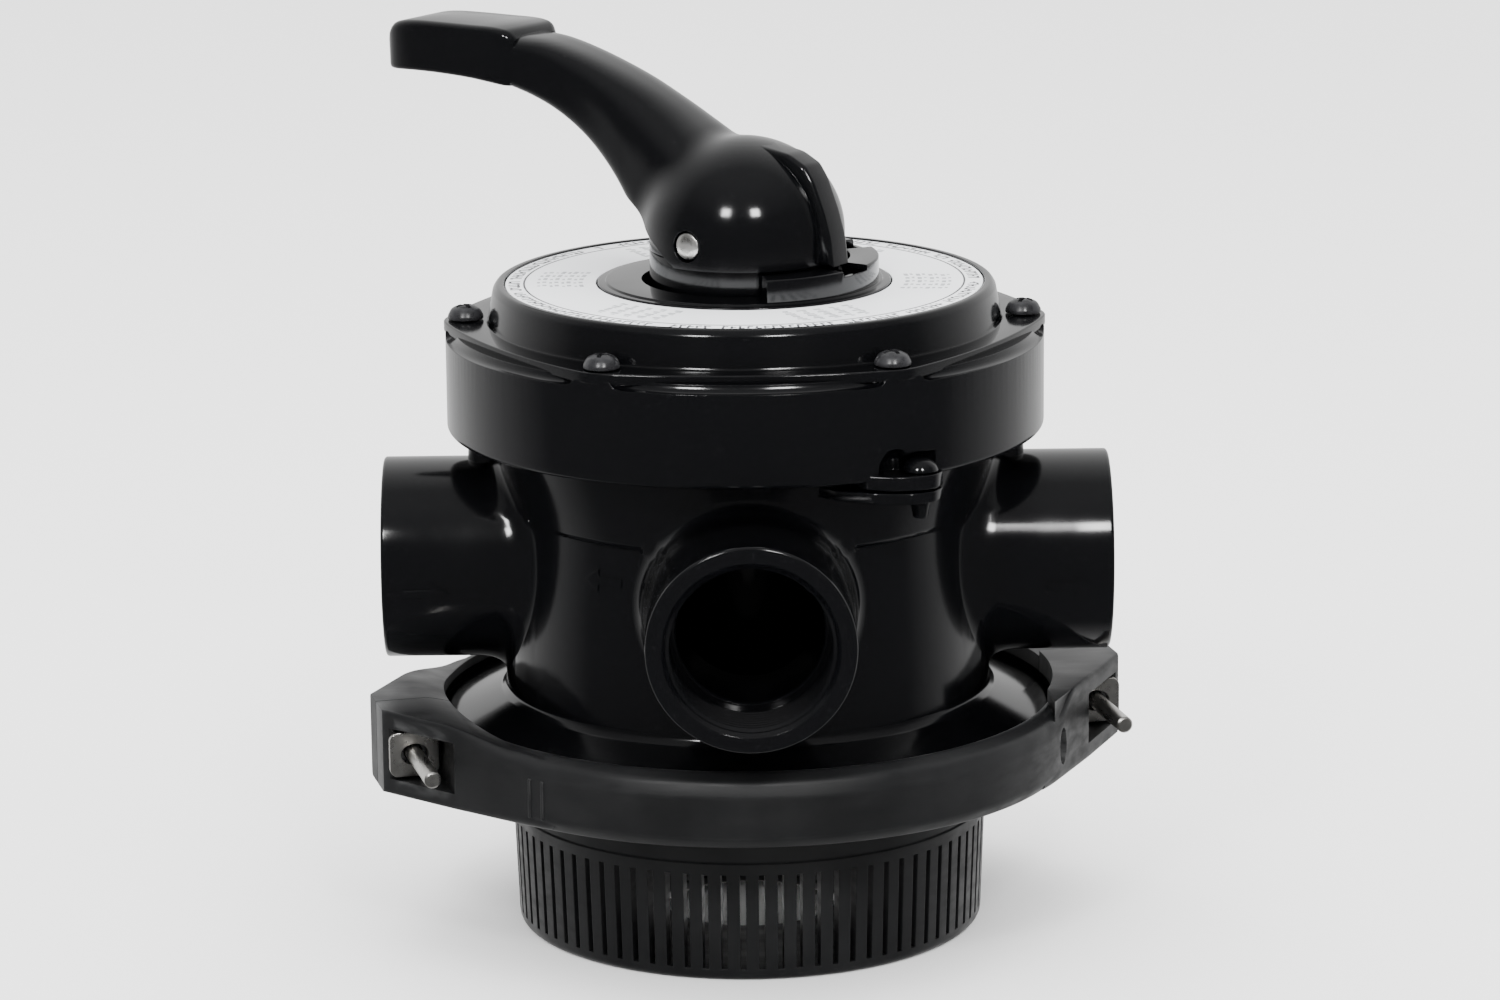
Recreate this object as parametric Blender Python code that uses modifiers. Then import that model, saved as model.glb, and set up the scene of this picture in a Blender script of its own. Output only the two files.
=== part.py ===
"""Top-mount multiport valve for a pool sand filter, one object per sub-part.

The valve stands upright: +Z is the valve axis, pointing up to the handle, and -Y
is the side of the front port. Lengths are written in millimetres and multiplied
by MM, because Blender works in metres.
"""
import bpy
import bmesh
from math import cos, exp, log, pi, radians, sin
from mathutils import Matrix, Vector

MM = 0.001
ROUND = 48                 # steps round a large turned part
INNER = 24                 # steps round an inner bore or seal
SMALL = 12                 # steps round a small turned part
GAP = 0.3                  # clearance left between neighbouring solids

# Where the valve axis stands in the part's own frame: the origin is under the
# middle of the outer box, and the front port makes the box longer at the front.
AXIS_X, AXIS_Y = 0.0, 8.0

# Slotted diffuser basket
BASKET_R, BASKET_TOP_R = 70.0, 71.6
BASKET_TOP, BASKET_STEP = 55.4, 36.2
BASKET_WALL, BASKET_FLOOR = 2.9, 3.0
BASKET_HOLE_R = 26.0
SLOTS, SLOT_WIDTH = 80, 1.8
SLOT_LOW, SLOT_HIGH = 3.6, 32.7

# Valve body
SPIGOT_R, SPIGOT_LOW = 66.8, 40.0
FLANGE_R, FLANGE_LOW, FLANGE_EDGE_TOP = 95.2, 56.0, 62.8
BODY_R, BODY_SHOULDER = 72.7, 72.0
SEAM_Z = 128.6
COLLAR_LOW_R, COLLAR_R, COLLAR_TOP = 71.4, 76.0, 158.0
RIM_R, RIM_TOP = 79.0, 180.4
CHAMBER_R = 62.8
ROTOR_BORE_R = 64.5
FLOOR_Z, FLOOR_THICK = 72.0, 3.5
SEAT_LOW, SEAT_TOP = 133.4, 137.4
CENTRE_TUBE_R, CENTRE_BORE_R = 29.5, 24.6
PORT_R, PORT_Z = 30.0, 111.9
PORT_BORE_R, PORT_THREAD_R, PORT_THREAD_DEPTH = 21.2, 24.2, 22.0
SIDE_PORT_END, FRONT_PORT_END = 108.3, 113.8

# The body is one moulding. It is shared out between six nodes along these planes,
# a gap apart, so that each has a plain enough shape for its collision pieces.
FAR = 130.0
FOOT_SPLIT, COLLAR_SPLIT = 75.8, 132.0
SOCKET_NEAR, SOCKET_HALF = 74.75, PORT_R + 3.0
SOCKET_LEVELS = (PORT_Z - SOCKET_HALF, PORT_Z + SOCKET_HALF)
PORT_SOCKETS = (
    ("pump_port_socket", -FAR, -SOCKET_NEAR, -SOCKET_HALF, SOCKET_HALF, *SOCKET_LEVELS),
    ("waste_port_socket", SOCKET_NEAR, FAR, -SOCKET_HALF, SOCKET_HALF, *SOCKET_LEVELS),
    ("pool_port_socket", -SOCKET_HALF, SOCKET_HALF, -FAR, -SOCKET_NEAR, *SOCKET_LEVELS))

# Locking ring (the deep skirt) with its six screws
SKIRT_R, SKIRT_LOW, SKIRT_TOP = 88.9, 152.1, 180.6
SKIRT_BORE_R, SKIRT_LEDGE_R = 79.4, 76.6
SCREWS, SCREW_CIRCLE_R = 6, 82.8
SCREW_R, SCREW_HOLE_R, SCREW_HEAD_R = 2.4, 2.8, 5.3
SCREW_TIP, SCREW_HOLE_LOW = 168.0, 166.0
SCOOP_HALF_DEG, SCOOP_IN, SCOOP_DEEP = 26.5, 2.6, 3.6

# Snap rivet that stops the ring from turning
LOCK_AZ, LOCK_R = -57.0, 90.0
LUG_HIGH, LUG_MID_HIGH, LUG_MID_LOW, LUG_LOW = 154.2, 150.0, 149.3, 146.0

# Lid with its label and the notched index arc
LID_LOW, LID_TOP = 180.9, 184.2
LID_CORNER_R, LID_SIDE_R = 90.0, 83.6
PLATEAU_R, PLATEAU_RIM_R, PLATEAU_TOP = 76.3, 74.6, 195.4
LABEL_IN, LABEL_OUT, LABEL_LOW, LABEL_TOP = 44.0, 70.8, 194.2, 195.0
BOSS_R, BOSS_TOP, WELL_R, WELL_FLOOR = 43.5, 196.0, 30.4, 189.2
ARC_IN, ARC_OUT, ARC_TOP = 31.4, 40.0, 202.7
ARC_FROM_DEG, ARC_TO_DEG = -81.0, 131.0
NOTCH_STEP_DEG, NOTCH_WIDTH = 60.0, 12.6
STEM_HOLE_R = 11.5
LID_PLUG_R = 63.5

# Handle, bearing ring and pin
HANDLE_DEG = 145.0         # bearing of the grip; the nose points the other way
PIN_Z, PIN_R, PIN_HALF = 210.0, 4.0, 30.4
BEARING_R, BEARING_LOW, BEARING_TOP = 28.0, 189.5, 205.0
HEEL_R, HEEL_Z = 28.0, 205.3
DOME_R, DOME_HIGH, HEM_Z = 30.0, 238.3, 203.1
ARM_LENGTH = 77.0          # from the axis to the root of the grip pad

# The arm's upper line, lower line and half width, as (distance out, value)
ARM_TOP = ((6, 236.0), (14, 241.3), (24, 246.8), (34, 251.8), (45, 256.2), (57, 260.0),
           (68, 262.4), (ARM_LENGTH, 262.8))
ARM_LOW = ((6, 208.0), (27, 210.8), (30.5, 214.4), (37, 223.0), (44, 230.6), (51, 235.6),
           (60, 241.2), (69, 245.0), (ARM_LENGTH, 247.6))
ARM_HALF = ((6, 24.0), (20, 20.5), (34, 15.6), (48, 12.6), (62, 11.6), (ARM_LENGTH, 11.8))

# The grip pad's half width, upper and lower line, as (distance out, ...)
GRIP = ((76.0, 12.0, 262.2, 248.2), (79.0, 13.0, 265.0, 248.6), (90.0, 13.2, 265.8, 249.6),
        (104.0, 13.2, 265.8, 250.2), (117.0, 12.6, 265.0, 250.0), (122.0, 11.6, 263.6, 249.8),
        (124.5, 9.6, 259.5, 250.4))
GRIP_EDGE = 2.4            # width of the rounded edge along the pad's top

# Rotor and spring
ROTOR_R, ROTOR_LOW, ROTOR_TOP = 63.2, 140.6, 152.0
STEM_R, STEM_TOP = 11.0, 221.0
SPRING_R, WIRE_R, SPRING_TURNS = 20.5, 2.0, 4.5
SPRING_LOW, SPRING_HIGH = 154.0, 183.6

# Two-piece band clamp, turned a little about the valve axis
CLAMP_DEG = 13.5
CLAMP_R, CLAMP_LIP_R, CLAMP_GROOVE_R = 98.4, 91.8, 95.7
CLAMP_LOW, CLAMP_TOP, LUG_TOP = 48.6, 70.4, 74.2
GROOVE_LOW, GROOVE_HIGH = 51.8, 66.6
LUG_END, LUG_FRONT, LUG_BACK, LUG_FOOT_DEG = 114.0, 10.0, 9.6, 35.1
BOLT_X, BOLT_Z, BOLT_R, BOLT_FRONT = 105.4, 61.4, 2.5, 43.4
PLATE_W, PLATE_H, PLATE_T = 14.8, 13.6, 2.4
PLATE_BACK = 12.6          # seam to the back of the square plate
HEAD_SEAT = 13.5           # where the back washers bear, behind the seam

BLACK_GLOSS = ((0.012, 0.012, 0.014), 0.16, 0.0)
BLACK_SATIN = ((0.022, 0.022, 0.023), 0.50, 0.0)
RUBBER = ((0.03, 0.03, 0.03), 0.75, 0.0)
STEEL = ((0.72, 0.72, 0.70), 0.25, 1.0)
LABEL_WHITE = ((0.86, 0.87, 0.88), 0.40, 0.0)
ROTOR_GREY = ((0.16, 0.17, 0.18), 0.45, 0.0)
WASHER_WHITE = ((0.80, 0.80, 0.76), 0.45, 0.0)

parts = None
guides = None
axis = None


# ---------------------------------------------------------------- helpers

def clear_scene():
    for obj in list(bpy.data.objects):
        bpy.data.objects.remove(obj, do_unlink=True)


def collection(name):
    group = bpy.data.collections.new(name)
    bpy.context.scene.collection.children.link(group)
    return group


def polar(radius, degrees):
    return radius * cos(radians(degrees)), radius * sin(radians(degrees))


def material(name, look):
    colour, roughness, metallic = look
    mat = bpy.data.materials.new(name)
    mat.use_nodes = True
    shader = mat.node_tree.nodes["Principled BSDF"]
    shader.inputs["Base Color"].default_value = (*colour, 1.0)
    shader.inputs["Roughness"].default_value = roughness
    shader.inputs["Metallic"].default_value = metallic
    return mat


def make(name, mesh, group):
    obj = bpy.data.objects.new(name, mesh)
    group.objects.link(obj)
    return obj


def finish(obj, name, look, parent, smooth_deg=35.0):
    """Make obj a sub-part: named, coloured, shaded and hung on its parent."""
    obj.name = name
    obj.data.name = name
    obj.data.materials.append(material(name, look))
    obj.data.shade_smooth()
    obj.data.set_sharp_from_angle(angle=radians(smooth_deg))
    for group in list(obj.users_collection):
        group.objects.unlink(obj)
    parts.objects.link(obj)
    obj.parent = parent
    return obj


def guide(obj):
    """Mark obj as a construction shape that is not part of the object."""
    obj.hide_render = True
    obj.display_type = "WIRE"
    for group in list(obj.users_collection):
        group.objects.unlink(obj)
    guides.objects.link(obj)
    return obj


def empty(name, place, parent=None, turn_deg=0.0):
    obj = bpy.data.objects.new(name, None)
    obj.location = Vector(place) * MM
    obj.rotation_euler.z = radians(turn_deg)
    obj.parent = parent
    guides.objects.link(obj)
    return obj


def boolean(target, tool, operation):
    step = target.modifiers.new(operation.title() + " " + tool.name, "BOOLEAN")
    step.operation = operation
    step.solver = "EXACT"
    step.object = guide(tool)
    return target


def cut(target, *tools):
    for tool in tools:
        boolean(target, tool, "DIFFERENCE")
    return target


def join(target, *tools):
    for tool in tools:
        boolean(target, tool, "UNION")
    return target


def bake(obj):
    """Replace obj's mesh by its evaluated one, so its tools can be dropped."""
    bpy.context.view_layer.update()
    graph = bpy.context.evaluated_depsgraph_get()
    mesh = bpy.data.meshes.new_from_object(obj.evaluated_get(graph))
    tools = [step.object for step in obj.modifiers if step.type == "BOOLEAN"]
    obj.modifiers.clear()
    bm = bmesh.new()
    bm.from_mesh(mesh)
    bmesh.ops.remove_doubles(bm, verts=bm.verts, dist=5e-6)
    bmesh.ops.dissolve_degenerate(bm, edges=bm.edges, dist=2e-6)
    bmesh.ops.dissolve_limit(bm, angle_limit=radians(0.2), verts=bm.verts, edges=bm.edges)
    bm.to_mesh(mesh)
    bm.free()
    obj.data = mesh
    for tool in tools:
        bpy.data.objects.remove(tool, do_unlink=True)
    return obj


def turned(name, outline, steps=ROUND, sweep_deg=360.0, start_deg=0.0):
    """A closed (radius, z) outline, clockwise seen from -Y, turned about Z."""
    whole = sweep_deg >= 360.0
    bm = bmesh.new()
    verts = [bm.verts.new((r * MM, 0.0, z * MM)) for r, z in outline]
    for a, b in zip(verts, verts[1:] + verts[:1]):
        if abs(a.co.x) + abs(b.co.x) > 1e-9:
            bm.edges.new((a, b))
    if not whole:
        bm.faces.new(verts)
    start = Matrix.Rotation(radians(start_deg), 4, "Z")
    count = steps if whole else max(2, round(steps * sweep_deg / 360.0))
    if whole:
        geom = bm.verts[:] + bm.edges[:]
        bmesh.ops.spin(bm, geom=geom, cent=(0, 0, 0), axis=(0, 0, 1),
                       angle=2 * pi, steps=count, use_merge=True)
    else:
        geom = bm.faces[:]
        bmesh.ops.spin(bm, geom=geom, cent=(0, 0, 0), axis=(0, 0, 1),
                       angle=radians(sweep_deg), steps=count)
    bmesh.ops.transform(bm, matrix=start, verts=bm.verts)
    bmesh.ops.remove_doubles(bm, verts=bm.verts, dist=1e-7)
    bmesh.ops.dissolve_degenerate(bm, edges=bm.edges, dist=1e-7)
    bmesh.ops.recalc_face_normals(bm, faces=bm.faces)
    mesh = bpy.data.meshes.new(name)
    bm.to_mesh(mesh)
    bm.free()
    return make(name, mesh, guides)


def prism(name, outline, low, high):
    """An (x, y) outline raised from z low to z high."""
    bm = bmesh.new()
    face = bm.faces.new([bm.verts.new((x * MM, y * MM, low * MM)) for x, y in outline])
    raised = bmesh.ops.extrude_face_region(bm, geom=[face])
    verts = [v for v in raised["geom"] if isinstance(v, bmesh.types.BMVert)]
    bmesh.ops.translate(bm, verts=verts, vec=(0, 0, (high - low) * MM))
    bmesh.ops.recalc_face_normals(bm, faces=bm.faces)
    mesh = bpy.data.meshes.new(name)
    bm.to_mesh(mesh)
    bm.free()
    return make(name, mesh, guides)


def cylinder(name, radius, low, high, steps=SMALL, x=0.0, y=0.0, top_radius=None):
    """An upright cylinder, or a cone where the top has its own radius."""
    top = radius if top_radius is None else top_radius
    bm = bmesh.new()
    place = Matrix.Translation(Vector((x, y, (low + high) / 2)) * MM)
    bmesh.ops.create_cone(bm, cap_ends=True, segments=steps, radius1=radius * MM,
                          radius2=top * MM, depth=(high - low) * MM, matrix=place)
    mesh = bpy.data.meshes.new(name)
    bm.to_mesh(mesh)
    bm.free()
    return make(name, mesh, guides)


def box(name, x0, x1, y0, y1, z0, z1):
    bm = bmesh.new()
    place = Matrix.Translation(Vector((x0 + x1, y0 + y1, z0 + z1)) * MM / 2)
    size = Matrix.Diagonal(Vector(((x1 - x0) * MM, (y1 - y0) * MM, (z1 - z0) * MM, 1.0)))
    bmesh.ops.create_cube(bm, size=1.0, matrix=place @ size)
    mesh = bpy.data.meshes.new(name)
    bm.to_mesh(mesh)
    bm.free()
    return make(name, mesh, guides)


def moved(obj, matrix):
    """Move the mesh itself, which leaves the object's own origin in place."""
    obj.data.transform(matrix)
    return obj


def lay_along(obj, degrees, z=0.0):
    """Lay a shape that was built upright along a horizontal bearing."""
    turn = Matrix.Rotation(radians(degrees), 4, "Z") @ Matrix.Rotation(pi / 2, 4, "Y")
    return moved(obj, Matrix.Translation((0, 0, z * MM)) @ turn)


def spun(obj, degrees):
    return moved(obj, Matrix.Rotation(radians(degrees), 4, "Z"))


def sector(name, inner, outer, from_deg, to_deg, low, high):
    outline = [(inner, low), (inner, high), (outer, high), (outer, low)]
    return turned(name, outline, INNER, to_deg - from_deg, from_deg)


def o_ring(name, mean_radius, cord_radius, z, parent, steps=INNER):
    outline = [(mean_radius + cord_radius * sin(2 * pi * k / 6),
                z + cord_radius * cos(2 * pi * k / 6)) for k in range(6)]
    return finish(turned(name, outline, steps), name, RUBBER, parent)


def washer(name, inner, outer, low, high, look, parent, steps=24):
    outline = [(inner, high), (outer, high), (outer, low), (inner, low)]
    return finish(turned(name, outline, steps), name, look, parent)


# ---------------------------------------------------------------- basket

def diffuser_basket():
    outline = [(BASKET_TOP_R - BASKET_WALL, BASKET_TOP), (BASKET_TOP_R - 0.6, BASKET_TOP),
               (BASKET_TOP_R - 0.6, BASKET_STEP), (BASKET_TOP_R, BASKET_STEP),
               (BASKET_R + 0.4, 2.0), (BASKET_R - 1.6, 0.0), (BASKET_HOLE_R, 0.0),
               (BASKET_HOLE_R, BASKET_FLOOR), (BASKET_R - BASKET_WALL, BASKET_FLOOR),
               (BASKET_R - BASKET_WALL, SLOT_HIGH + 2.0)]
    basket = turned("basket", outline, SLOTS)
    bm = bmesh.new()
    middle = (SLOT_LOW + SLOT_HIGH) / 2
    for k in range(SLOTS):
        turn = Matrix.Rotation(2 * pi * (k + 0.5) / SLOTS, 4, "Z")
        place = Matrix.Translation(Vector((BASKET_R - 1.5, 0.0, middle)) * MM)
        size = Vector((9.0, SLOT_WIDTH, SLOT_HIGH - SLOT_LOW)) * MM
        bmesh.ops.create_cube(bm, size=1.0, matrix=turn @ place @ Matrix.Diagonal((*size, 1)))
    mesh = bpy.data.meshes.new("slots")
    bm.to_mesh(mesh)
    bm.free()
    cut(basket, make("slots", mesh, guides))
    return finish(bake(basket), "diffuser_basket", BLACK_SATIN, axis)


# ---------------------------------------------------------------- body

def port_tube(bearing, end):
    """A port boss lying along its bearing, flared where it leaves the body."""
    outline = [(0.0, end), (PORT_R - 0.8, end), (PORT_R, end - 0.8), (PORT_R, 80.0),
               (PORT_R + 2.5, 73.0), (PORT_R + 2.5, 50.0), (0.0, 50.0)]
    return lay_along(turned("port", outline, 24), bearing, PORT_Z)


def port_bore(bearing, end):
    outline = [(0.0, end + 5), (PORT_THREAD_R + 1.0, end + 5), (PORT_THREAD_R + 1.0, end),
               (PORT_THREAD_R, end - 1.2), (PORT_THREAD_R, end - PORT_THREAD_DEPTH),
               (PORT_BORE_R, end - PORT_THREAD_DEPTH), (PORT_BORE_R, 45.0), (0.0, 45.0)]
    return lay_along(turned("bore", outline, 20), bearing, PORT_Z)


def valve_body():
    outline = [
        (0.0, RIM_TOP), (RIM_R, RIM_TOP), (RIM_R, COLLAR_TOP), (COLLAR_R, COLLAR_TOP),
        (COLLAR_R - 0.8, 149.0), (COLLAR_LOW_R, SEAM_Z + 1.6), (COLLAR_LOW_R - 0.9, SEAM_Z),
        (BODY_R - 3.2, SEAM_Z - 0.4), (BODY_R, 86.0), (BODY_R, BODY_SHOULDER + 2.0),
        (BODY_R + 1.6, BODY_SHOULDER), (90.0, 66.4), (FLANGE_R - 1.0, FLANGE_EDGE_TOP + 1.0),
        (FLANGE_R, FLANGE_EDGE_TOP - 0.6), (FLANGE_R, FLANGE_LOW), (SPIGOT_R, FLANGE_LOW),
        (SPIGOT_R, SPIGOT_LOW), (0.0, SPIGOT_LOW)]
    body = turned("body", outline)
    join(body, port_tube(180, SIDE_PORT_END), port_tube(0, SIDE_PORT_END),
         port_tube(-90, FRONT_PORT_END))
    for bearing in (0, 180):
        column = cylinder("column", 6.6, PORT_Z + 10, COLLAR_TOP - 7, SMALL,
                          x=76.6 if bearing == 0 else -76.6, top_radius=6.0)
        join(body, column)
    join(body, lower_lock_lug())
    bake(body)
    cut(body, rivet_hole(LUG_LOW - 3, LUG_MID_LOW + 3))

    cut(body, turned("rotor_bore", [(0.0, RIM_TOP + 5), (ROTOR_BORE_R, RIM_TOP + 5),
                                    (ROTOR_BORE_R, SEAT_TOP), (0.0, SEAT_TOP)], INNER))
    cut(body, turned("under_space", [
        (CENTRE_TUBE_R, FLOOR_Z), (CHAMBER_R, FLOOR_Z), (CHAMBER_R, SPIGOT_LOW - 3),
        (CENTRE_TUBE_R, SPIGOT_LOW - 3)], INNER))
    cut(body, turned("lid_seal_groove", [(68.0, RIM_TOP + 3), (72.2, RIM_TOP + 3),
                                         (72.2, RIM_TOP - 3.5), (68.0, RIM_TOP - 3.5)],
                     INNER))
    cut(body, turned("tank_seal_groove", [(74.4, FLANGE_LOW + 4.2), (81.8, FLANGE_LOW + 4.2),
                                          (81.8, FLANGE_LOW - 3), (74.4, FLANGE_LOW - 3)],
                     INNER))
    bake(body)

    chambers = {"waste": (-28, 28), "pool": (-148, -32), "pump": (152, 208),
                "pipe": (32, 88), "tank": (92, 148)}
    for name, (start, end) in chambers.items():
        low = FLOOR_Z - 2 if name == "tank" else FLOOR_Z + FLOOR_THICK
        cut(body, sector(name, CENTRE_TUBE_R + 0.4, CHAMBER_R - 0.2, start, end,
                         low, SEAT_LOW))
    bake(body)

    cut(body, cylinder("pipe_bore", CENTRE_BORE_R, SPIGOT_LOW - 3, 128.0, INNER))
    cut(body, sector("pipe_window", CENTRE_BORE_R - 3, CENTRE_TUBE_R + 4, 40, 80,
                     FLOOR_Z + 8, SEAT_LOW - 10))
    cut(body, turned("pipe_seal_groove", [(20.0, 49.0), (27.2, 49.0), (27.2, 45.0),
                                          (20.0, 45.0)], INNER))
    bake(body)
    cut(body, port_bore(180, SIDE_PORT_END), port_bore(0, SIDE_PORT_END),
        port_bore(-90, FRONT_PORT_END))
    bake(body)
    for k in range(6):
        cut(body, sector("window", 33.0, 57.0, 60 * k - 25, 60 * k + 25,
                         SEAT_LOW - 2, SEAT_TOP + 2))
    bake(body)

    for name, *bounds in PORT_SOCKETS:
        share(body, name, box("inside", *bounds))
    for name, *bounds in PORT_SOCKETS:
        wider = [b + d for b, d in zip(bounds, (-GAP, GAP) * 3)]
        cut(body, box("outside", *wider))
    bake(body)
    share(body, "body_foot", box("inside", -FAR, FAR, -FAR, FAR, 0, FOOT_SPLIT - GAP))
    share(body, "body_collar", box("inside", -FAR, FAR, -FAR, FAR, COLLAR_SPLIT + GAP, FAR * 2))
    share(body, "valve_body", box("inside", -FAR, FAR, -FAR, FAR, FOOT_SPLIT, COLLAR_SPLIT))
    bpy.data.objects.remove(body, do_unlink=True)


def share(body, name, region):
    """The part of the body inside a region, as a sub-part of its own."""
    obj = make(name, body.data.copy(), guides)
    boolean(obj, region, "INTERSECT")
    return finish(bake(obj), name, BLACK_GLOSS, axis)


def lock_lug(name, outline, low, high):
    """A tab on the rim at the lock rivet; outline in (outward, sideways)."""
    return spun(prism(name, outline, low, high), LOCK_AZ)


def rivet_hole(low, high):
    x, y = polar(LOCK_R, LOCK_AZ)
    return cylinder("rivet_hole", 2.8, low, high, 12, x, y)


def lower_lock_lug():
    outline = [(68.0, -23.5), (78.5, -21.5), (88.5, -15.0), (95.0, -7.0), (96.2, -3.0),
               (96.2, 1.6), (94.4, 4.9), (91.0, 6.3), (68.0, 6.3)]
    return lock_lug("lower_lug", outline, LUG_LOW, LUG_MID_LOW)


# ---------------------------------------------------------------- ring and lid

def locking_ring():
    ring = turned("ring", [
        (SKIRT_BORE_R, SKIRT_TOP), (SKIRT_R, SKIRT_TOP), (SKIRT_R, SKIRT_LOW + 1.2),
        (SKIRT_R - 1.2, SKIRT_LOW), (SKIRT_LEDGE_R, SKIRT_LOW),
        (SKIRT_LEDGE_R, COLLAR_TOP - GAP), (SKIRT_BORE_R, COLLAR_TOP - GAP)])
    upper = [(77.6, -17.0), (86.5, -16.5), (93.0, -10.0), (96.2, -3.0), (96.2, 1.6),
             (94.4, 4.9), (91.0, 6.3), (77.6, 6.3)]
    join(ring, lock_lug("upper_lug", upper, LUG_MID_HIGH, LUG_HIGH))
    bake(ring)
    for k in range(SCREWS):
        x, y = polar(SCREW_CIRCLE_R, 360 * k / SCREWS)
        cut(ring, cylinder("pilot", SCREW_HOLE_R, SCREW_HOLE_LOW, SKIRT_TOP + 3, 12, x, y))
        middle = 360 * (k + 0.5) / SCREWS
        scoop = [(SKIRT_R - SCOOP_IN, SKIRT_TOP + 1), (SKIRT_R + 2, SKIRT_TOP + 1),
                 (SKIRT_R + 2, SKIRT_TOP - SCOOP_DEEP)]
        cut(ring, turned("scoop", scoop, ROUND, 2 * SCOOP_HALF_DEG, middle - SCOOP_HALF_DEG))
    x, y = polar(LOCK_R, LOCK_AZ)
    cut(ring, cylinder("rivet_recess", 6.4, LUG_HIGH - 0.05, LUG_HIGH + 5.4, SMALL, x, y))
    cut(ring, rivet_hole(LUG_MID_HIGH - 2, LUG_HIGH + 1))
    return finish(bake(ring), "locking_ring", BLACK_GLOSS, axis)


def hexagon_radius(degrees):
    """Radius of a hexagon with bowed sides and softly rounded corners."""
    back = (LID_CORNER_R ** 2 - LID_SIDE_R ** 2) / (
        2 * (LID_SIDE_R - LID_CORNER_R * cos(pi / 6)))
    bow = LID_SIDE_R + back
    softness = 0.9
    total = 0.0
    for k in range(6):
        turn = radians(degrees - 30 - 60 * k)
        reach = -back * cos(turn) + (bow ** 2 - (back * sin(turn)) ** 2) ** 0.5
        total += exp(-reach / softness)
    return -softness * log(total)


def lid():
    outline = []
    steps = 48
    for k in range(steps):
        degrees = 360 * k / steps
        outline.append(polar(hexagon_radius(degrees), degrees))
    cover = prism("cover", outline, LID_LOW, LID_TOP)
    rise = turned("rise", [
        (0.0, BOSS_TOP), (BOSS_R - 2.5, BOSS_TOP), (BOSS_R, BOSS_TOP - 0.6),
        (BOSS_R, LABEL_LOW - GAP), (71.3, LABEL_LOW - GAP), (71.3, PLATEAU_TOP),
        (72.6, PLATEAU_TOP), (PLATEAU_RIM_R, PLATEAU_TOP - 1.6), (PLATEAU_R, LID_TOP + 0.4),
        (PLATEAU_R + 0.4, LID_LOW + 1.0), (LID_PLUG_R, LID_LOW + 0.4), (LID_PLUG_R, 172.0),
        (0.0, 172.0)])
    join(cover, rise)
    arc = sector("arc", ARC_IN, ARC_OUT, ARC_FROM_DEG, ARC_TO_DEG, BOSS_TOP - 2, ARC_TOP)
    join(cover, arc)
    bake(cover)
    cut(cover, turned("hollow", [
        (15.5, 185.2), (33.0, 185.2), (36.0, 189.4), (60.4, 189.4), (60.4, 168.0),
        (15.5, 168.0)], INNER))
    cut(cover, turned("well", [(0.0, BOSS_TOP + 2), (WELL_R, BOSS_TOP + 2),
                               (WELL_R, WELL_FLOOR), (0.0, WELL_FLOOR)]))
    bake(cover)
    cut(cover, cylinder("stem_hole", STEM_HOLE_R, 165.0, 200.0, INNER))
    nose = HANDLE_DEG - 180
    for k in range(3):
        tool = box("notch", ARC_IN - 6, ARC_OUT + 6, -NOTCH_WIDTH / 2, NOTCH_WIDTH / 2,
                   BOSS_TOP + 1.2, ARC_TOP + 3)
        cut(cover, spun(tool, nose + NOTCH_STEP_DEG * k))
    for k in range(SCREWS):
        x, y = polar(SCREW_CIRCLE_R, 360 * k / SCREWS)
        cut(cover, cylinder("screw_hole", SCREW_HOLE_R, LID_LOW - 3, LID_TOP + 3, 12, x, y))
    return finish(bake(cover), "lid", BLACK_GLOSS, axis)


def label_plate():
    ring = turned("label", [(LABEL_IN, LABEL_TOP), (LABEL_OUT, LABEL_TOP),
                            (LABEL_OUT, LABEL_LOW), (LABEL_IN, LABEL_LOW)], INNER)
    return finish(ring, "label_plate", LABEL_WHITE, axis)


def lid_screw(number):
    """A pan-head screw with a cross slot, standing at its own place."""
    head = LID_TOP + GAP
    screw = turned("screw", [
        (0.0, head + 4.3), (2.6, head + 4.0), (4.4, head + 3.0), (SCREW_HEAD_R, head + 1.4),
        (SCREW_HEAD_R, head), (SCREW_R, head), (SCREW_R, SCREW_TIP + 1.0),
        (SCREW_R - 1.0, SCREW_TIP), (0.0, SCREW_TIP)], 10)
    cut(screw, box("slot", -2.7, 2.7, -0.6, 0.6, head + 2.2, head + 6))
    bake(screw)
    cut(screw, box("slot", -0.6, 0.6, -2.7, 2.7, head + 2.2, head + 6))
    bake(screw)
    x, y = polar(SCREW_CIRCLE_R, 360 * (number - 1) / SCREWS)
    spun(screw, 20 + 47 * number)
    screw.location = (x * MM, y * MM, 0.0)
    return finish(screw, "lid_screw_%d" % number, BLACK_SATIN, axis)


def lock_rivet():
    x, y = polar(LOCK_R, LOCK_AZ)
    seat = LUG_HIGH + GAP
    rivet = turned("rivet", [
        (0.0, seat + 3.8), (2.4, seat + 3.4), (4.3, seat + 2.0), (5.2, seat), (2.45, seat),
        (2.45, LUG_LOW - 1.2), (2.1, LUG_LOW - 5.4), (0.0, LUG_LOW - 5.4)], SMALL)
    cut(rivet, box("split", -4, 4, -0.5, 0.5, LUG_LOW - 8, LUG_LOW + 1.5))
    bake(rivet)
    rivet.location = (x * MM, y * MM, 0.0)
    return finish(rivet, "lock_rivet", BLACK_GLOSS, axis)


# ---------------------------------------------------------------- rotor train

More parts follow.
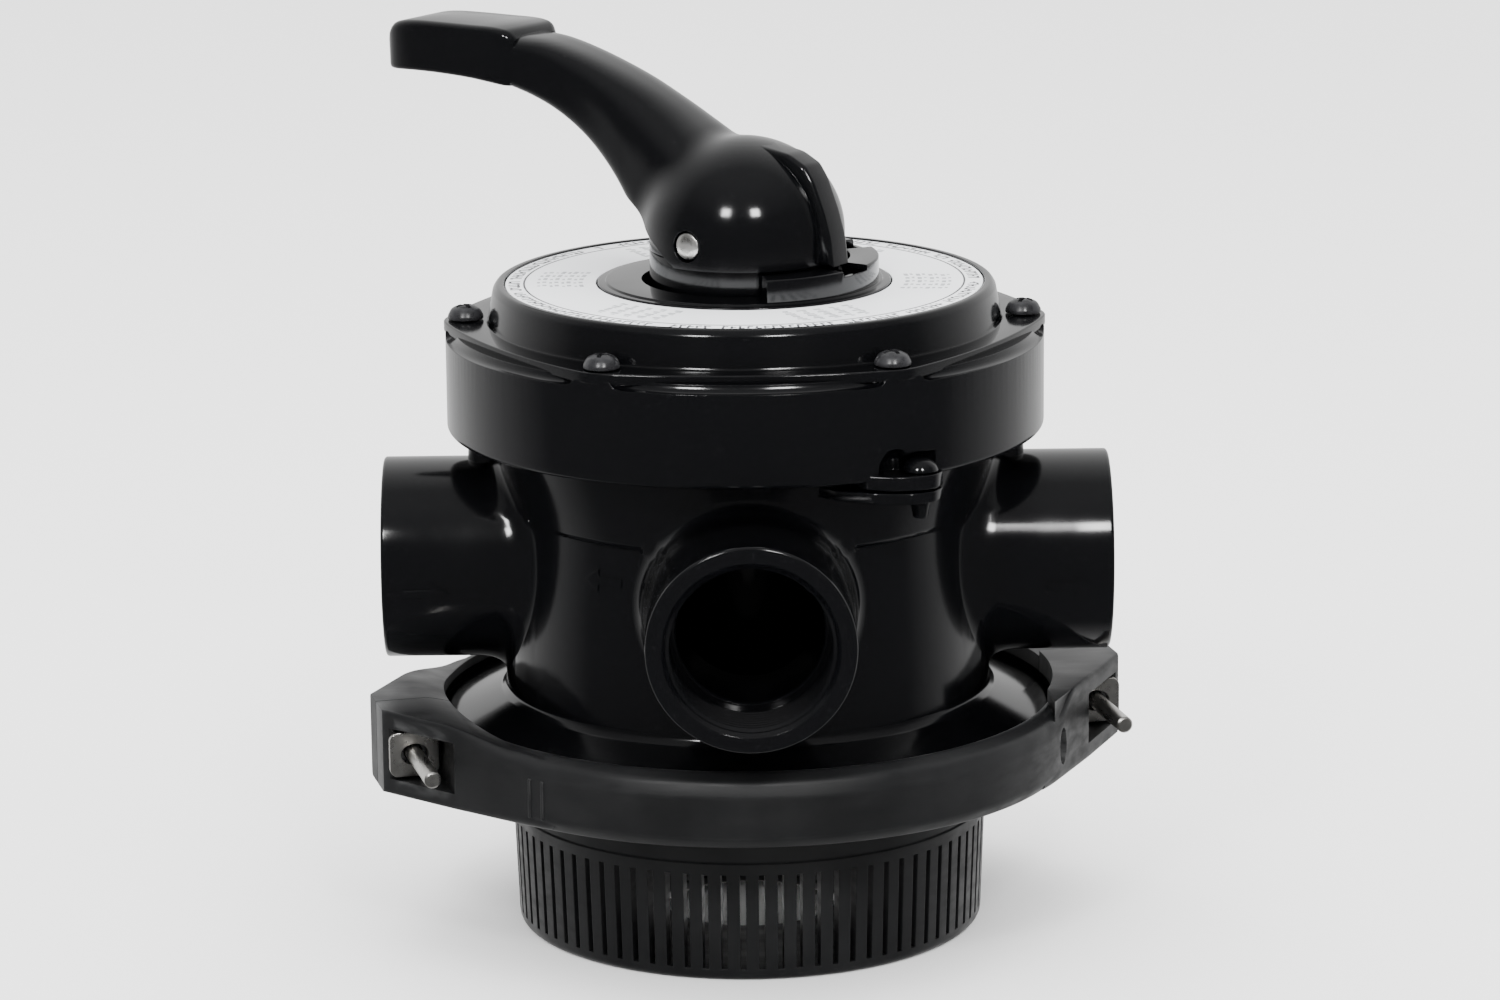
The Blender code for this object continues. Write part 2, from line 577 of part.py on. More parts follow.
def rotor(parent):
    plug = turned("plug", [
        (0.0, STEM_TOP), (STEM_R - 1.0, STEM_TOP), (STEM_R, STEM_TOP - 1.0),
        (STEM_R, 183.2), (STEM_R - 1.9, 183.2), (STEM_R - 1.9, 180.6), (STEM_R, 180.6),
        (STEM_R, 177.4), (STEM_R - 1.9, 177.4), (STEM_R - 1.9, 174.8), (STEM_R, 174.8),
        (STEM_R, 158.0), (16.0, 155.0), (16.0, ROTOR_TOP), (27.0, ROTOR_TOP),
        (ROTOR_R - 5, ROTOR_TOP - 3),
        (ROTOR_R, ROTOR_LOW + 5), (ROTOR_R, ROTOR_LOW), (0.0, ROTOR_LOW)], INNER)
    nose = HANDLE_DEG - 180
    cut(plug, sector("through", 33.5, 56.5, nose - 24, nose + 24, ROTOR_LOW - 3, ROTOR_TOP + 3))
    bake(plug)
    cut(plug, sector("pocket", 33.5, 56.5, nose + 36, nose + 144, ROTOR_LOW - 3, ROTOR_LOW + 5))
    bake(plug)
    cut(plug, sector("pocket", 33.5, 56.5, nose + 156, nose + 324, ROTOR_LOW - 3, ROTOR_LOW + 5))
    bake(plug)
    hole = lay_along(cylinder("pin_hole", PIN_R + 0.25, -40, 40, 20), HANDLE_DEG - 90, PIN_Z)
    return finish(bake(cut(plug, hole)), "rotor", ROTOR_GREY, parent)


def rotor_spring(parent):
    """A round-wire coil between the rotor and the lid."""
    per_turn = 14
    count = round(SPRING_TURNS * per_turn)
    low, high = SPRING_LOW + WIRE_R, SPRING_HIGH - WIRE_R
    curve = bpy.data.curves.new("coil", "CURVE")
    curve.dimensions = "3D"
    line = curve.splines.new("POLY")
    line.points.add(count)
    for k, point in enumerate(line.points):
        turn = 2 * pi * k / per_turn
        height = low + (high - low) * k / count
        point.co = (SPRING_R * cos(turn) * MM, SPRING_R * sin(turn) * MM, height * MM, 1.0)
    curve.bevel_depth = WIRE_R * MM
    curve.bevel_resolution = 1
    curve.use_fill_caps = True
    coil = bpy.data.objects.new("coil", curve)
    guides.objects.link(coil)
    bpy.context.view_layer.update()
    graph = bpy.context.evaluated_depsgraph_get()
    mesh = bpy.data.meshes.new_from_object(coil.evaluated_get(graph))
    bpy.data.objects.remove(coil, do_unlink=True)
    bm = bmesh.new()
    bm.from_mesh(mesh)
    bmesh.ops.remove_doubles(bm, verts=bm.verts, dist=1e-6)
    bmesh.ops.recalc_face_normals(bm, faces=bm.faces)
    bm.to_mesh(mesh)
    bm.free()
    return finish(make("coil", mesh, guides), "rotor_spring", STEEL, parent, 80.0)


def bearing_ring(parent):
    """The ring under the lever's heel, which stands in the lid's well."""
    ring = turned("bearing", [
        (11.9, BEARING_TOP), (BEARING_R - 0.5, BEARING_TOP), (BEARING_R, BEARING_TOP - 0.5),
        (BEARING_R, BEARING_LOW), (24.0, BEARING_LOW), (24.0, 200.5), (15.5, 200.5),
        (15.5, BEARING_LOW), (11.9, BEARING_LOW)], INNER)
    return finish(ring, "lever_bearing_ring", BLACK_GLOSS, parent)


def gasket():
    """Spider gasket: two rings joined by six spokes on the seat plate."""
    low, high = SEAT_TOP + 0.1, ROTOR_LOW - 0.1
    spider = turned("spider", [(57.4, high), (62.6, high), (62.6, low), (57.4, low)], INNER)
    hub = turned("hub", [(28.5, high), (32.6, high), (32.6, low), (28.5, low)], INNER)
    join(spider, hub)
    for k in range(6):
        join(spider, spun(box("spoke", 31.0, 59.0, -1.7, 1.7, low, high), 60 * k + 30))
    return finish(bake(spider), "spider_gasket", RUBBER, axis)


# ---------------------------------------------------------------- lever

def between(table, along):
    """Read a value between a few (along, value) knots."""
    for (a, low), (b, high) in zip(table, table[1:]):
        if along <= b:
            return low + (high - low) * (along - a) / (b - a)
    return table[-1][1]


def arm_section(along):
    """One rounded section of the arm: points (sideways, z), anticlockwise."""
    top, low, half = between(ARM_TOP, along), between(ARM_LOW, along), between(ARM_HALF, along)
    middle, tall = (top + low) / 2, (top - low) / 2
    points = []
    for k in range(16):
        turn = 2 * pi * (k + 0.5) / 16
        c, s = cos(turn), sin(turn)
        sharp = 0.75 if s > 0 else 0.3
        side = half * (abs(c) ** sharp) * (1 if c > 0 else -1)
        rise = tall * (abs(s) ** sharp) * (1 if s > 0 else -1)
        points.append((side, middle + rise))
    return points


def loft(name, sections):
    """Join closed rings of points, given as (along, sideways, z), end to end."""
    bm = bmesh.new()
    rings = [[bm.verts.new(Vector(p) * MM) for p in ring] for ring in sections]
    for near, far in zip(rings, rings[1:]):
        for k in range(len(near)):
            j = (k + 1) % len(near)
            bm.faces.new((near[k], near[j], far[j], far[k]))
    bm.faces.new(rings[0])
    bm.faces.new(rings[-1])
    bmesh.ops.recalc_face_normals(bm, faces=bm.faces)
    mesh = bpy.data.meshes.new(name)
    bm.to_mesh(mesh)
    bm.free()
    return make(name, mesh, guides)


def lever_arm():
    stations = (6, 14, 22, 27, 30.5, 34, 40, 46, 52, 60, 68, ARM_LENGTH)
    return loft("arm", [[(s, y, z) for y, z in arm_section(s)] for s in stations])


def lever_grip():
    """The flat pad at the end of the arm."""
    sections = []
    edge = GRIP_EDGE
    for s, half, top, low in GRIP:
        sections.append([
            (s, half, low + 1), (s, half + 0.3, top - edge), (s, half - edge, top),
            (s, edge - half, top), (s, -half - 0.3, top - edge), (s, -half, low + 1),
            (s, 1.5 - half, low), (s, half - 1.5, low)])
    return loft("grip", sections)


def lever(parent):
    """Handle built along +X of its own frame, with the pin's axis along Y."""
    dome = [(0.0, DOME_HIGH)]
    for k in range(1, 7):
        turn = pi / 2 * k / 6
        dome.append((DOME_R * sin(turn), PIN_Z + (DOME_HIGH - PIN_Z) * cos(turn)))
    dome += [(DOME_R, HEM_Z), (0.0, HEM_Z)]
    handle = turned("handle", dome, 32)
    # below a line that rises towards the grip only the round heel is left
    clear = prism("clear", [(5, HEM_Z - 4), (60, HEM_Z - 4), (60, 236), (5, 203.5)], -40, 40)
    moved(clear, Matrix.Rotation(pi / 2, 4, "X"))
    cut(handle, clear)
    bake(handle)
    join(handle, cylinder("heel", HEEL_R, HEM_Z - 2, 214.0, 32))
    join(handle, lever_arm())
    bake(handle)
    join(handle, lever_grip())
    nose = prism("nose", [(-4, HEM_Z), (-34.4, HEM_Z), (-33.4, 211.5), (-31.2, 219.0),
                          (-27.6, 228.5), (-25.4, 232.4), (-20.0, 235.6), (-4, 238.6)], -5, 5)
    moved(nose, Matrix.Rotation(pi / 2, 4, "X"))
    join(handle, nose)
    bake(handle)
    cut(handle, turned("bearing_room", [(0.0, HEEL_Z), (HEEL_R + 0.5, HEEL_Z),
                                        (HEEL_R + 0.5, HEM_Z - 4), (0.0, HEM_Z - 4)], 32))
    cut(handle, box("stem_slot", -15.6, 15.6, -11.7, 11.7, HEM_Z - 5, 225.0))
    bake(handle)
    pin_hole = cylinder("pin_hole", PIN_R + 0.25, -45, 45, 24)
    moved(pin_hole, Matrix.Translation((0, 0, PIN_Z * MM)) @ Matrix.Rotation(pi / 2, 4, "X"))
    cut(handle, pin_hole)
    bake(handle)
    moved(handle, Matrix.Translation((0, 0, -PIN_Z * MM)))
    return finish(handle, "lever", BLACK_GLOSS, parent)


def lever_pin(parent):
    pin = turned("pin", [(0.0, PIN_HALF), (PIN_R - 0.5, PIN_HALF), (PIN_R, PIN_HALF - 0.5),
                         (PIN_R, 0.5 - PIN_HALF), (PIN_R - 0.5, -PIN_HALF), (0.0, -PIN_HALF)], 20)
    lay_along(pin, 90)
    return finish(pin, "lever_pin", STEEL, parent)


# ---------------------------------------------------------------- clamp

def clamp_band(name, front, parent):
    """Half of the clamp. The seam lies on the frame's X axis; front is -Y."""
    side = -1 if front else 1
    band = turned("band", [
        (0.0, CLAMP_TOP), (CLAMP_R - 3.4, CLAMP_TOP), (CLAMP_R - 1.0, CLAMP_TOP - 1.2),
        (CLAMP_R, CLAMP_TOP - 3.6), (CLAMP_R, CLAMP_LOW + 1.6), (CLAMP_R - 1.6, CLAMP_LOW),
        (0.0, CLAMP_LOW)])
    depth = LUG_FRONT if front else LUG_BACK
    for left in (-1, 1):
        foot = polar(CLAMP_R + 0.3, LUG_FOOT_DEG)
        outline = [(LUG_END * left, 0.0), (LUG_END * left, depth * side),
                   (foot[0] * left, foot[1] * side), (70 * left, 50 * side), (70 * left, 0.0)]
        if left == side:
            outline.reverse()
        join(band, prism("lug", outline, CLAMP_LOW + 0.3, LUG_TOP))
    bake(band)
    cut(band, turned("groove", [
        (0.0, CLAMP_TOP + 6), (CLAMP_LIP_R, CLAMP_TOP + 6), (CLAMP_LIP_R, GROOVE_HIGH + 1.0),
        (CLAMP_GROOVE_R, GROOVE_HIGH - 1.8), (CLAMP_GROOVE_R, GROOVE_LOW + 1.8),
        (CLAMP_LIP_R, GROOVE_LOW - 1.0), (CLAMP_LIP_R, CLAMP_LOW - 6), (0.0, CLAMP_LOW - 6)]))
    seam = 0.2
    y0, y1 = (-seam, 130) if front else (-130, seam)
    cut(band, box("other_half", -130, 130, y0, y1, CLAMP_LOW - 9, LUG_TOP + 9))
    bake(band)
    for left in (-1, 1):
        hole = cylinder("bolt_hole", BOLT_R + 0.35, -80, 80, 12)
        moved(hole, Matrix.Translation((BOLT_X * left * MM, 0, BOLT_Z * MM))
              @ Matrix.Rotation(pi / 2, 4, "X"))
        cut(band, hole)
        if front:
            cut(band, plate_shape("pocket", left, 0.9, PLATE_BACK - 0.4, 60.0))
        else:
            middle = BOLT_X * left
            cut(band, box("head_pocket", middle - 8, middle + 8, HEAD_SEAT, 60,
                          BOLT_Z - 8, BOLT_Z + 8))
    return finish(bake(band), name, BLACK_SATIN, parent)


def plate_shape(name, left, margin, near, far):
    """The square plate's outline round a bolt, from near to far in front of the seam."""
    middle, half, tall = BOLT_X * left, PLATE_W / 2 + margin, PLATE_H / 2 + margin
    return box(name, middle - half, middle + half, -far, -near, BOLT_Z - tall, BOLT_Z + tall)


def clamp_plate(name, left, parent):
    plate = plate_shape("plate", left, 0.0, PLATE_BACK, PLATE_BACK + PLATE_T)
    round_off = plate.modifiers.new("Corners", "BEVEL")
    round_off.width = 1.0 * MM
    round_off.segments = 1
    round_off.limit_method = "ANGLE"
    bake(plate)
    hole = cylinder("bolt_hole", BOLT_R + 0.3, -80, 80, 12)
    moved(hole, Matrix.Translation((BOLT_X * left * MM, 0, BOLT_Z * MM))
          @ Matrix.Rotation(pi / 2, 4, "X"))
    cut(plate, hole)
    return finish(bake(plate), name, STEEL, parent)


def clamp_bolt(name, left, parent):
    """Hex-head bolt put in from the back, its end standing out in front."""
    shank = turned("shank", [
        (0.0, HEAD_SEAT + 2), (BOLT_R, HEAD_SEAT + 2), (BOLT_R, 0.6 - BOLT_FRONT),
        (BOLT_R - 0.6, -BOLT_FRONT), (0.0, -BOLT_FRONT)], 12)
    head = cylinder("head", 4.6, HEAD_SEAT + 1.6, HEAD_SEAT + 5.1, 6)
    join(shank, head)
    bake(shank)
    turn = Matrix.Rotation(-pi / 2, 4, "X")
    moved(shank, Matrix.Translation((BOLT_X * left * MM, 0, BOLT_Z * MM)) @ turn)
    return finish(shank, name, STEEL, parent)


def clamp_washer(name, left, parent):
    ring = turned("ring", [(BOLT_R + 0.3, HEAD_SEAT + 1.3), (6.2, HEAD_SEAT + 1.3),
                           (6.2, HEAD_SEAT + 0.3), (BOLT_R + 0.3, HEAD_SEAT + 0.3)], 24)
    turn = Matrix.Rotation(-pi / 2, 4, "X")
    moved(ring, Matrix.Translation((BOLT_X * left * MM, 0, BOLT_Z * MM)) @ turn)
    return finish(ring, name, STEEL, parent)


# ---------------------------------------------------------------- assembly

def build():
    global parts, guides, axis
    clear_scene()
    parts = collection("multiport_valve")
    guides = collection("cutters")
    axis = empty("valve_axis", (AXIS_X, AXIS_Y, 0))
    turning = empty("selector_axis", (0, 0, 0), axis, HANDLE_DEG)
    pivot = empty("lever_axis", (0, 0, PIN_Z), turning)
    stem = empty("rotor_axis", (0, 0, 0), axis)
    clamp = empty("clamp_axis", (0, 0, 0), axis, CLAMP_DEG)

    diffuser_basket()
    valve_body()
    o_ring("pipe_o_ring", 25.0, 1.8, 47.0, axis)
    o_ring("tank_o_ring", 78.1, 3.2, FLANGE_LOW + 0.6, axis)
    locking_ring()
    o_ring("lid_o_ring", 70.1, 1.75, RIM_TOP - 1.6, axis)
    lid()
    label_plate()
    for number in range(1, SCREWS + 1):
        lid_screw(number)
    lock_rivet()
    gasket()

    rotor(stem)
    for name, z in (("stem_o_ring_lower", 176.1), ("stem_o_ring_upper", 181.9)):
        o_ring(name, STEM_R - 0.75, 1.05, z, stem, INNER)
    washer("spring_washer_lower", 17.6, 24.5, SPRING_LOW - 1.5, SPRING_LOW - GAP,
           STEEL, stem)
    rotor_spring(turning)
    washer("spring_washer_upper", 16.0, 24.5, SPRING_HIGH + GAP, 184.9, WASHER_WHITE, turning)
    bearing_ring(turning)
    lever(pivot)
    lever_pin(pivot)

    clamp_band("clamp_band_front", True, clamp)
    clamp_band("clamp_band_back", False, clamp)
    for word, left in (("left", -1), ("right", 1)):
        clamp_bolt("clamp_bolt_" + word, left, clamp)
        clamp_plate("clamp_plate_" + word, left, clamp)
        clamp_washer("clamp_washer_" + word, left, clamp)


build()
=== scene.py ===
from math import cos, exp, log, pi, radians, sin, sqrt

import bmesh
import bpy
import numpy as np
from mathutils import Matrix, Vector


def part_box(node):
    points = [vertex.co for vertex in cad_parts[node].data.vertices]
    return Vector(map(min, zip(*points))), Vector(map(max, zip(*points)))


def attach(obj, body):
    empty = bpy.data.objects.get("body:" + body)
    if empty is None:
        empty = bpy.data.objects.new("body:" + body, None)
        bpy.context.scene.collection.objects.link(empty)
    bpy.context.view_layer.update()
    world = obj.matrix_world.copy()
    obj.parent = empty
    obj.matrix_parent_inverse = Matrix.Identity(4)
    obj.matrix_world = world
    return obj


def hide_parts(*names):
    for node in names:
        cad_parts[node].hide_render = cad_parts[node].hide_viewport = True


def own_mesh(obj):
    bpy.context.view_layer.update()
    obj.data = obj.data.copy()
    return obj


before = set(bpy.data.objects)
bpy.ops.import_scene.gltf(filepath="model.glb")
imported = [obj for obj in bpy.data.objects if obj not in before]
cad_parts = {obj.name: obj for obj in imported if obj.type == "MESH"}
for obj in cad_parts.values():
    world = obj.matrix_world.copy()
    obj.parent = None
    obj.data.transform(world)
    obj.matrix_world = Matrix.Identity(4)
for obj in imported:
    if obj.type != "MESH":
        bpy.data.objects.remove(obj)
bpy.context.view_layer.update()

# Lengths are millimetres, except in the studio, where they are metres. Heights are
# heights above the floor, and radii are measured from the valve axis, which the
# label's ring is centred on.
MM = 0.001
ROUND = 160                # steps round a large turned piece
SMALL = 48                 # steps round a small one
LABEL_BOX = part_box("label_plate")
AXIS = Vector(((LABEL_BOX[0][0] + LABEL_BOX[1][0]) / 2, (LABEL_BOX[0][1] + LABEL_BOX[1][1]) / 2, 0.0))


def low(node):
    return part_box(node)[0][2] / MM


def high(node):
    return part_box(node)[1][2] / MM


def radius_of(node):
    """Half the width of a node that is round about the valve axis."""
    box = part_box(node)
    return (box[1][0] - box[0][0]) / 2 / MM


# ---- mesh helpers

scene = bpy.context.scene
pieces = bpy.data.collections.new("pieces")
scene.collection.children.link(pieces)


def new_object(name, mesh):
    obj = bpy.data.objects.new(name, mesh)
    pieces.objects.link(obj)
    return obj


def from_faces(name, verts, faces):
    """A mesh object from millimetre points about the valve axis."""
    mesh = bpy.data.meshes.new(name)
    mesh.from_pydata([Vector(v) * MM for v in verts], [], faces)
    bm = bmesh.new()
    bm.from_mesh(mesh)
    bmesh.ops.remove_doubles(bm, verts=bm.verts, dist=1e-6)
    bmesh.ops.dissolve_degenerate(bm, edges=bm.edges, dist=1e-7)
    bmesh.ops.recalc_face_normals(bm, faces=bm.faces)
    bm.to_mesh(mesh)
    bm.free()
    return new_object(name, mesh)


def rounded(corners, step_deg=15.0):
    """Closed outline from (a, b) or (a, b, radius) corners, with each radius as an arc."""
    points = []
    count = len(corners)
    for k, corner in enumerate(corners):
        here = Vector(corner[:2])
        if len(corner) < 3 or corner[2] <= 0:
            points.append(tuple(here))
            continue
        before = Vector(corners[k - 1][:2]) - here
        after = Vector(corners[(k + 1) % count][:2]) - here
        room = min(before.length, after.length) * 0.499
        before.normalize()
        after.normalize()
        half = before.angle(after) / 2
        if half > radians(89.5):
            points.append(tuple(here))
            continue
        size = min(corner[2], room * np.tan(half))
        reach = size / np.tan(half)
        centre = here + (before + after).normalized() * size / sin(half)
        start, end = here + before * reach - centre, here + after * reach - centre
        turn = start.angle(end)
        side = 1.0 if start.x * end.y - start.y * end.x > 0 else -1.0
        parts = max(2, round(turn / radians(step_deg)))
        for j in range(parts + 1):
            a = side * turn * j / parts
            points.append((centre.x + start.x * cos(a) - start.y * sin(a),
                           centre.y + start.x * sin(a) + start.y * cos(a)))
    return points


def turned(name, corners, steps=ROUND, start_deg=0.0, sweep_deg=360.0):
    """A closed (radius, z) outline turned about the valve axis."""
    outline = rounded(corners)
    whole = sweep_deg >= 360.0
    count = steps if whole else max(3, round(steps * sweep_deg / 360.0)) + 1
    verts, faces = [], []
    for j in range(count):
        a = radians(start_deg + sweep_deg * j / (count if whole else count - 1))
        verts += [(r * cos(a), r * sin(a), z) for r, z in outline]
    n = len(outline)
    for j in range(count if whole else count - 1):
        here, there = j * n, (j + 1) % count * n
        for k in range(n):
            m = (k + 1) % n
            if outline[k][0] < 1e-6 and outline[m][0] < 1e-6:
                continue
            faces.append((here + k, here + m, there + m, there + k))
    if not whole:
        faces.append(tuple(range(n)))
        faces.append(tuple((count - 1) * n + k for k in reversed(range(n))))
    return from_faces(name, verts, faces)


def rod(name, radius, bottom, top, steps):
    """A plain cylinder about the valve axis."""
    return turned(name, [(0, top), (radius, top), (radius, bottom), (0, bottom)], steps)


def tube(name, inner, outer, bottom, top, steps, start_deg=0.0, sweep_deg=360.0):
    """A plain ring about the valve axis, or a stretch of one."""
    return turned(name, [(inner, top), (outer, top), (outer, bottom), (inner, bottom)], steps,
                  start_deg, sweep_deg)


def prism(name, corners, bottom, top, edge=0.0):
    """An (x, y) outline raised from bottom to top, its edges rounded by edge."""
    outline = rounded(corners)
    n = len(outline)
    layers = [(bottom, 0.0), (top, 0.0)]
    if edge > 0:
        steps = [k * 15.0 for k in range(7)]
        layers = [(bottom + edge * (1 - cos(radians(a))), edge * (1 - sin(radians(a)))) for a in steps]
        layers += [(top - edge * (1 - cos(radians(a))), edge * (1 - sin(radians(a))))
                   for a in reversed(steps)]
    verts = []
    area = sum(outline[k][0] * outline[(k + 1) % n][1] - outline[(k + 1) % n][0] * outline[k][1]
               for k in range(n))
    way = 1.0 if area > 0 else -1.0
    for z, inset in layers:
        for k in range(n):
            before, here, after = (Vector(outline[(k + d) % n]) for d in (-1, 0, 1))
            e0, e1 = (here - before).normalized(), (after - here).normalized()
            inward = Vector((-(e0.y + e1.y), e0.x + e1.x)) * way
            scale = 1.0 / max(0.4, inward.length / 2)
            inward = inward.normalized() * inset * scale
            verts.append((here.x + inward.x, here.y + inward.y, z))
    faces = [tuple(range(n)), tuple((len(layers) - 1) * n + k for k in range(n))]
    for j in range(len(layers) - 1):
        for k in range(n):
            m = (k + 1) % n
            faces.append((j * n + k, j * n + m, (j + 1) * n + m, (j + 1) * n + k))
    return from_faces(name, verts, faces)


def box(name, x0, x1, y0, y1, z0, z1):
    return prism(name, [(x0, y0), (x1, y0), (x1, y1), (x0, y1)], z0, z1)


def loft(name, rings):
    """Closed rings of (x, y, z) points joined end to end and capped."""
    n = len(rings[0])
    verts = [p for ring in rings for p in ring]
    faces = [tuple(reversed(range(n))), tuple((len(rings) - 1) * n + k for k in range(n))]
    for j in range(len(rings) - 1):
        for k in range(n):
            m = (k + 1) % n
            faces.append((j * n + k, j * n + m, (j + 1) * n + m, (j + 1) * n + k))
    return from_faces(name, verts, faces)


def moved(obj, matrix):
    obj.data.transform(matrix)
    return obj


def spun(obj, degrees):
    return moved(obj, Matrix.Rotation(radians(degrees), 4, "Z"))


def shifted(obj, x=0.0, y=0.0, z=0.0):
    return moved(obj, Matrix.Translation(Vector((x, y, z)) * MM))


def tipped(obj):
    """Turn a shape's own Y to point up."""
    return moved(obj, Matrix.Rotation(pi / 2, 4, "X"))


def laid(obj, bearing, z):
    """Lay a shape that was built upright along a horizontal bearing at height z."""
    turn = Matrix.Rotation(radians(bearing), 4, "Z") @ Matrix.Rotation(pi / 2, 4, "Y")
    return moved(obj, Matrix.Translation((0, 0, z * MM)) @ turn)


def merged(name, objects):
    """Several separate shapes as one object, to cut or add in one step."""
    bm = bmesh.new()
    for obj in objects:
        bm.from_mesh(obj.data)
        bpy.data.objects.remove(obj, do_unlink=True)
    mesh = bpy.data.meshes.new(name)
    bm.to_mesh(mesh)
    bm.free()
    return new_object(name, mesh)


def applied(obj):
    bpy.context.view_layer.update()
    graph = bpy.context.evaluated_depsgraph_get()
    mesh = bpy.data.meshes.new_from_object(obj.evaluated_get(graph))
    obj.modifiers.clear()
    obj.data = mesh
    return obj


def combine(target, operation, *tools):
    for tool in tools:
        step = target.modifiers.new("step", "BOOLEAN")
        step.operation = operation
        step.solver = "EXACT"
        step.object = tool
        applied(target)
        bpy.data.objects.remove(tool, do_unlink=True)
    return target


def cut(target, *tools):
    return combine(target, "DIFFERENCE", *tools)


def join(target, *tools):
    return combine(target, "UNION", *tools)


def polar(radius, degrees):
    return radius * cos(radians(degrees)), radius * sin(radians(degrees))


def set_at(obj, radius, degrees):
    return shifted(obj, *polar(radius, degrees))


def piece(obj, name, look, record_slot, body, *nodes, smooth_deg=32.0):
    """Name, shade and colour a finished shape, and hang it on its body."""
    bm = bmesh.new()
    bm.from_mesh(obj.data)
    bmesh.ops.remove_doubles(bm, verts=bm.verts, dist=2e-6)
    bmesh.ops.dissolve_degenerate(bm, edges=bm.edges, dist=1e-6)
    bm.to_mesh(obj.data)
    bm.free()
    obj.name = name
    obj.data.name = name
    obj.data.materials.clear()
    obj.data.materials.append(look)
    obj.data.shade_smooth()
    obj.data.set_sharp_from_angle(angle=radians(smooth_deg))
    obj.location = obj.location + AXIS
    bpy.context.view_layer.update()
    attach(obj, body)
    if nodes:
        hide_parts(*nodes)
    return obj


# ---- materials

def nodes_of(name):
    look = bpy.data.materials.new(name)
    look.use_nodes = True
    tree = look.node_tree
    return look, tree, tree.nodes["Principled BSDF"]


def place_in(tree):
    return tree.nodes.new("ShaderNodeTexCoord").outputs["Object"]


def noise(tree, scale, detail=3.0, stretch=None):
    """Noise over the object's own space; scale is waves per metre."""
    texture = tree.nodes.new("ShaderNodeTexNoise")
    texture.inputs["Scale"].default_value = scale
    texture.inputs["Detail"].default_value = detail
    source = place_in(tree)
    if stretch:
        mapping = tree.nodes.new("ShaderNodeMapping")
        mapping.inputs["Scale"].default_value = stretch
        tree.links.new(source, mapping.inputs["Vector"])
        source = mapping.outputs["Vector"]
    tree.links.new(source, texture.inputs["Vector"])
    return texture.outputs["Fac"]


def ranged(tree, value, from_low, from_high, to_low, to_high):
    ramp = tree.nodes.new("ShaderNodeMapRange")
    ramp.inputs["From Min"].default_value = from_low
    ramp.inputs["From Max"].default_value = from_high
    ramp.inputs["To Min"].default_value = to_low
    ramp.inputs["To Max"].default_value = to_high
    tree.links.new(value, ramp.inputs["Value"])
    return ramp.outputs["Result"]


def mixed(tree, factor, colour_a, colour_b):
    mix = tree.nodes.new("ShaderNodeMix")
    mix.data_type = "RGBA"
    for socket, colour in (("A", colour_a), ("B", colour_b)):
        slot = [s for s in mix.inputs if s.name == socket and s.type == "RGBA"][0]
        if isinstance(colour, tuple):
            slot.default_value = (*colour, 1.0)
        else:
            tree.links.new(colour, slot)
    tree.links.new(factor, mix.inputs["Factor"])
    return [s for s in mix.outputs if s.type == "RGBA"][0]


def combined(tree, operation, first, second):
    step = tree.nodes.new("ShaderNodeMath")
    step.operation = operation
    tree.links.new(first, step.inputs[0])
    tree.links.new(second, step.inputs[1])
    return step.outputs[0]


def painted(tree, shader, colour, roughness):
    tree.links.new(colour, shader.inputs["Base Color"])
    tree.links.new(roughness, shader.inputs["Roughness"])


def bumped(tree, shader, height, strength, distance_mm, edge_mm=0.0):
    """Bump from a height, over edges softened by edge_mm."""
    bump = tree.nodes.new("ShaderNodeBump")
    bump.inputs["Strength"].default_value = strength
    bump.inputs["Distance"].default_value = distance_mm * MM
    tree.links.new(height, bump.inputs["Height"])
    if edge_mm > 0:
        bevel = tree.nodes.new("ShaderNodeBevel")
        bevel.samples = 4
        bevel.inputs["Radius"].default_value = edge_mm * MM
        tree.links.new(bevel.outputs["Normal"], bump.inputs["Normal"])
    tree.links.new(bump.outputs["Normal"], shader.inputs["Normal"])


def glossy_black():
    """Polished black ABS: faint flow marks, and dust that dulls it in places."""
    look, tree, shader = nodes_of("gloss_black")
    flow = noise(tree, 55.0, 2.0, (1.0, 1.0, 0.45))
    dust = noise(tree, 900.0, 4.0)
    colour = mixed(tree, ranged(tree, dust, 0.62, 0.80, 0.0, 1.0), (0.0020, 0.0021, 0.0026),
                   (0.0065, 0.0065, 0.0072))
    painted(tree, shader, colour, ranged(tree, flow, 0.3, 0.7, 0.09, 0.16))
    shader.inputs["IOR"].default_value = 1.53
    bumped(tree, shader, flow, 0.10, 0.25, 0.35)
    return look


def satin_black():
    """Glass-filled black plastic: dull, scuffed and rubbed grey on its edges."""
    look, tree, shader = nodes_of("satin_black")
    cloud = noise(tree, 38.0, 4.0)
    grain = noise(tree, 1900.0, 2.0)
    scuff = noise(tree, 160.0, 5.0, (0.25, 1.0, 2.2))
    edge = tree.nodes.new("ShaderNodeNewGeometry").outputs["Pointiness"]
    worn = ranged(tree, edge, 0.52, 0.60, 0.0, 1.0)
    rubbed = combined(tree, "MULTIPLY", worn, ranged(tree, scuff, 0.40, 0.62, 0.15, 1.0))
    ground = mixed(tree, ranged(tree, cloud, 0.35, 0.7, 0.0, 1.0), (0.0048, 0.0050, 0.0056),
                   (0.0085, 0.0087, 0.0094))
    colour = mixed(tree, rubbed, ground, (0.065, 0.066, 0.066))
    painted(tree, shader, colour, ranged(tree, scuff, 0.3, 0.7, 0.34, 0.52))
    bumped(tree, shader, grain, 0.22, 0.08, 0.4)
    return look


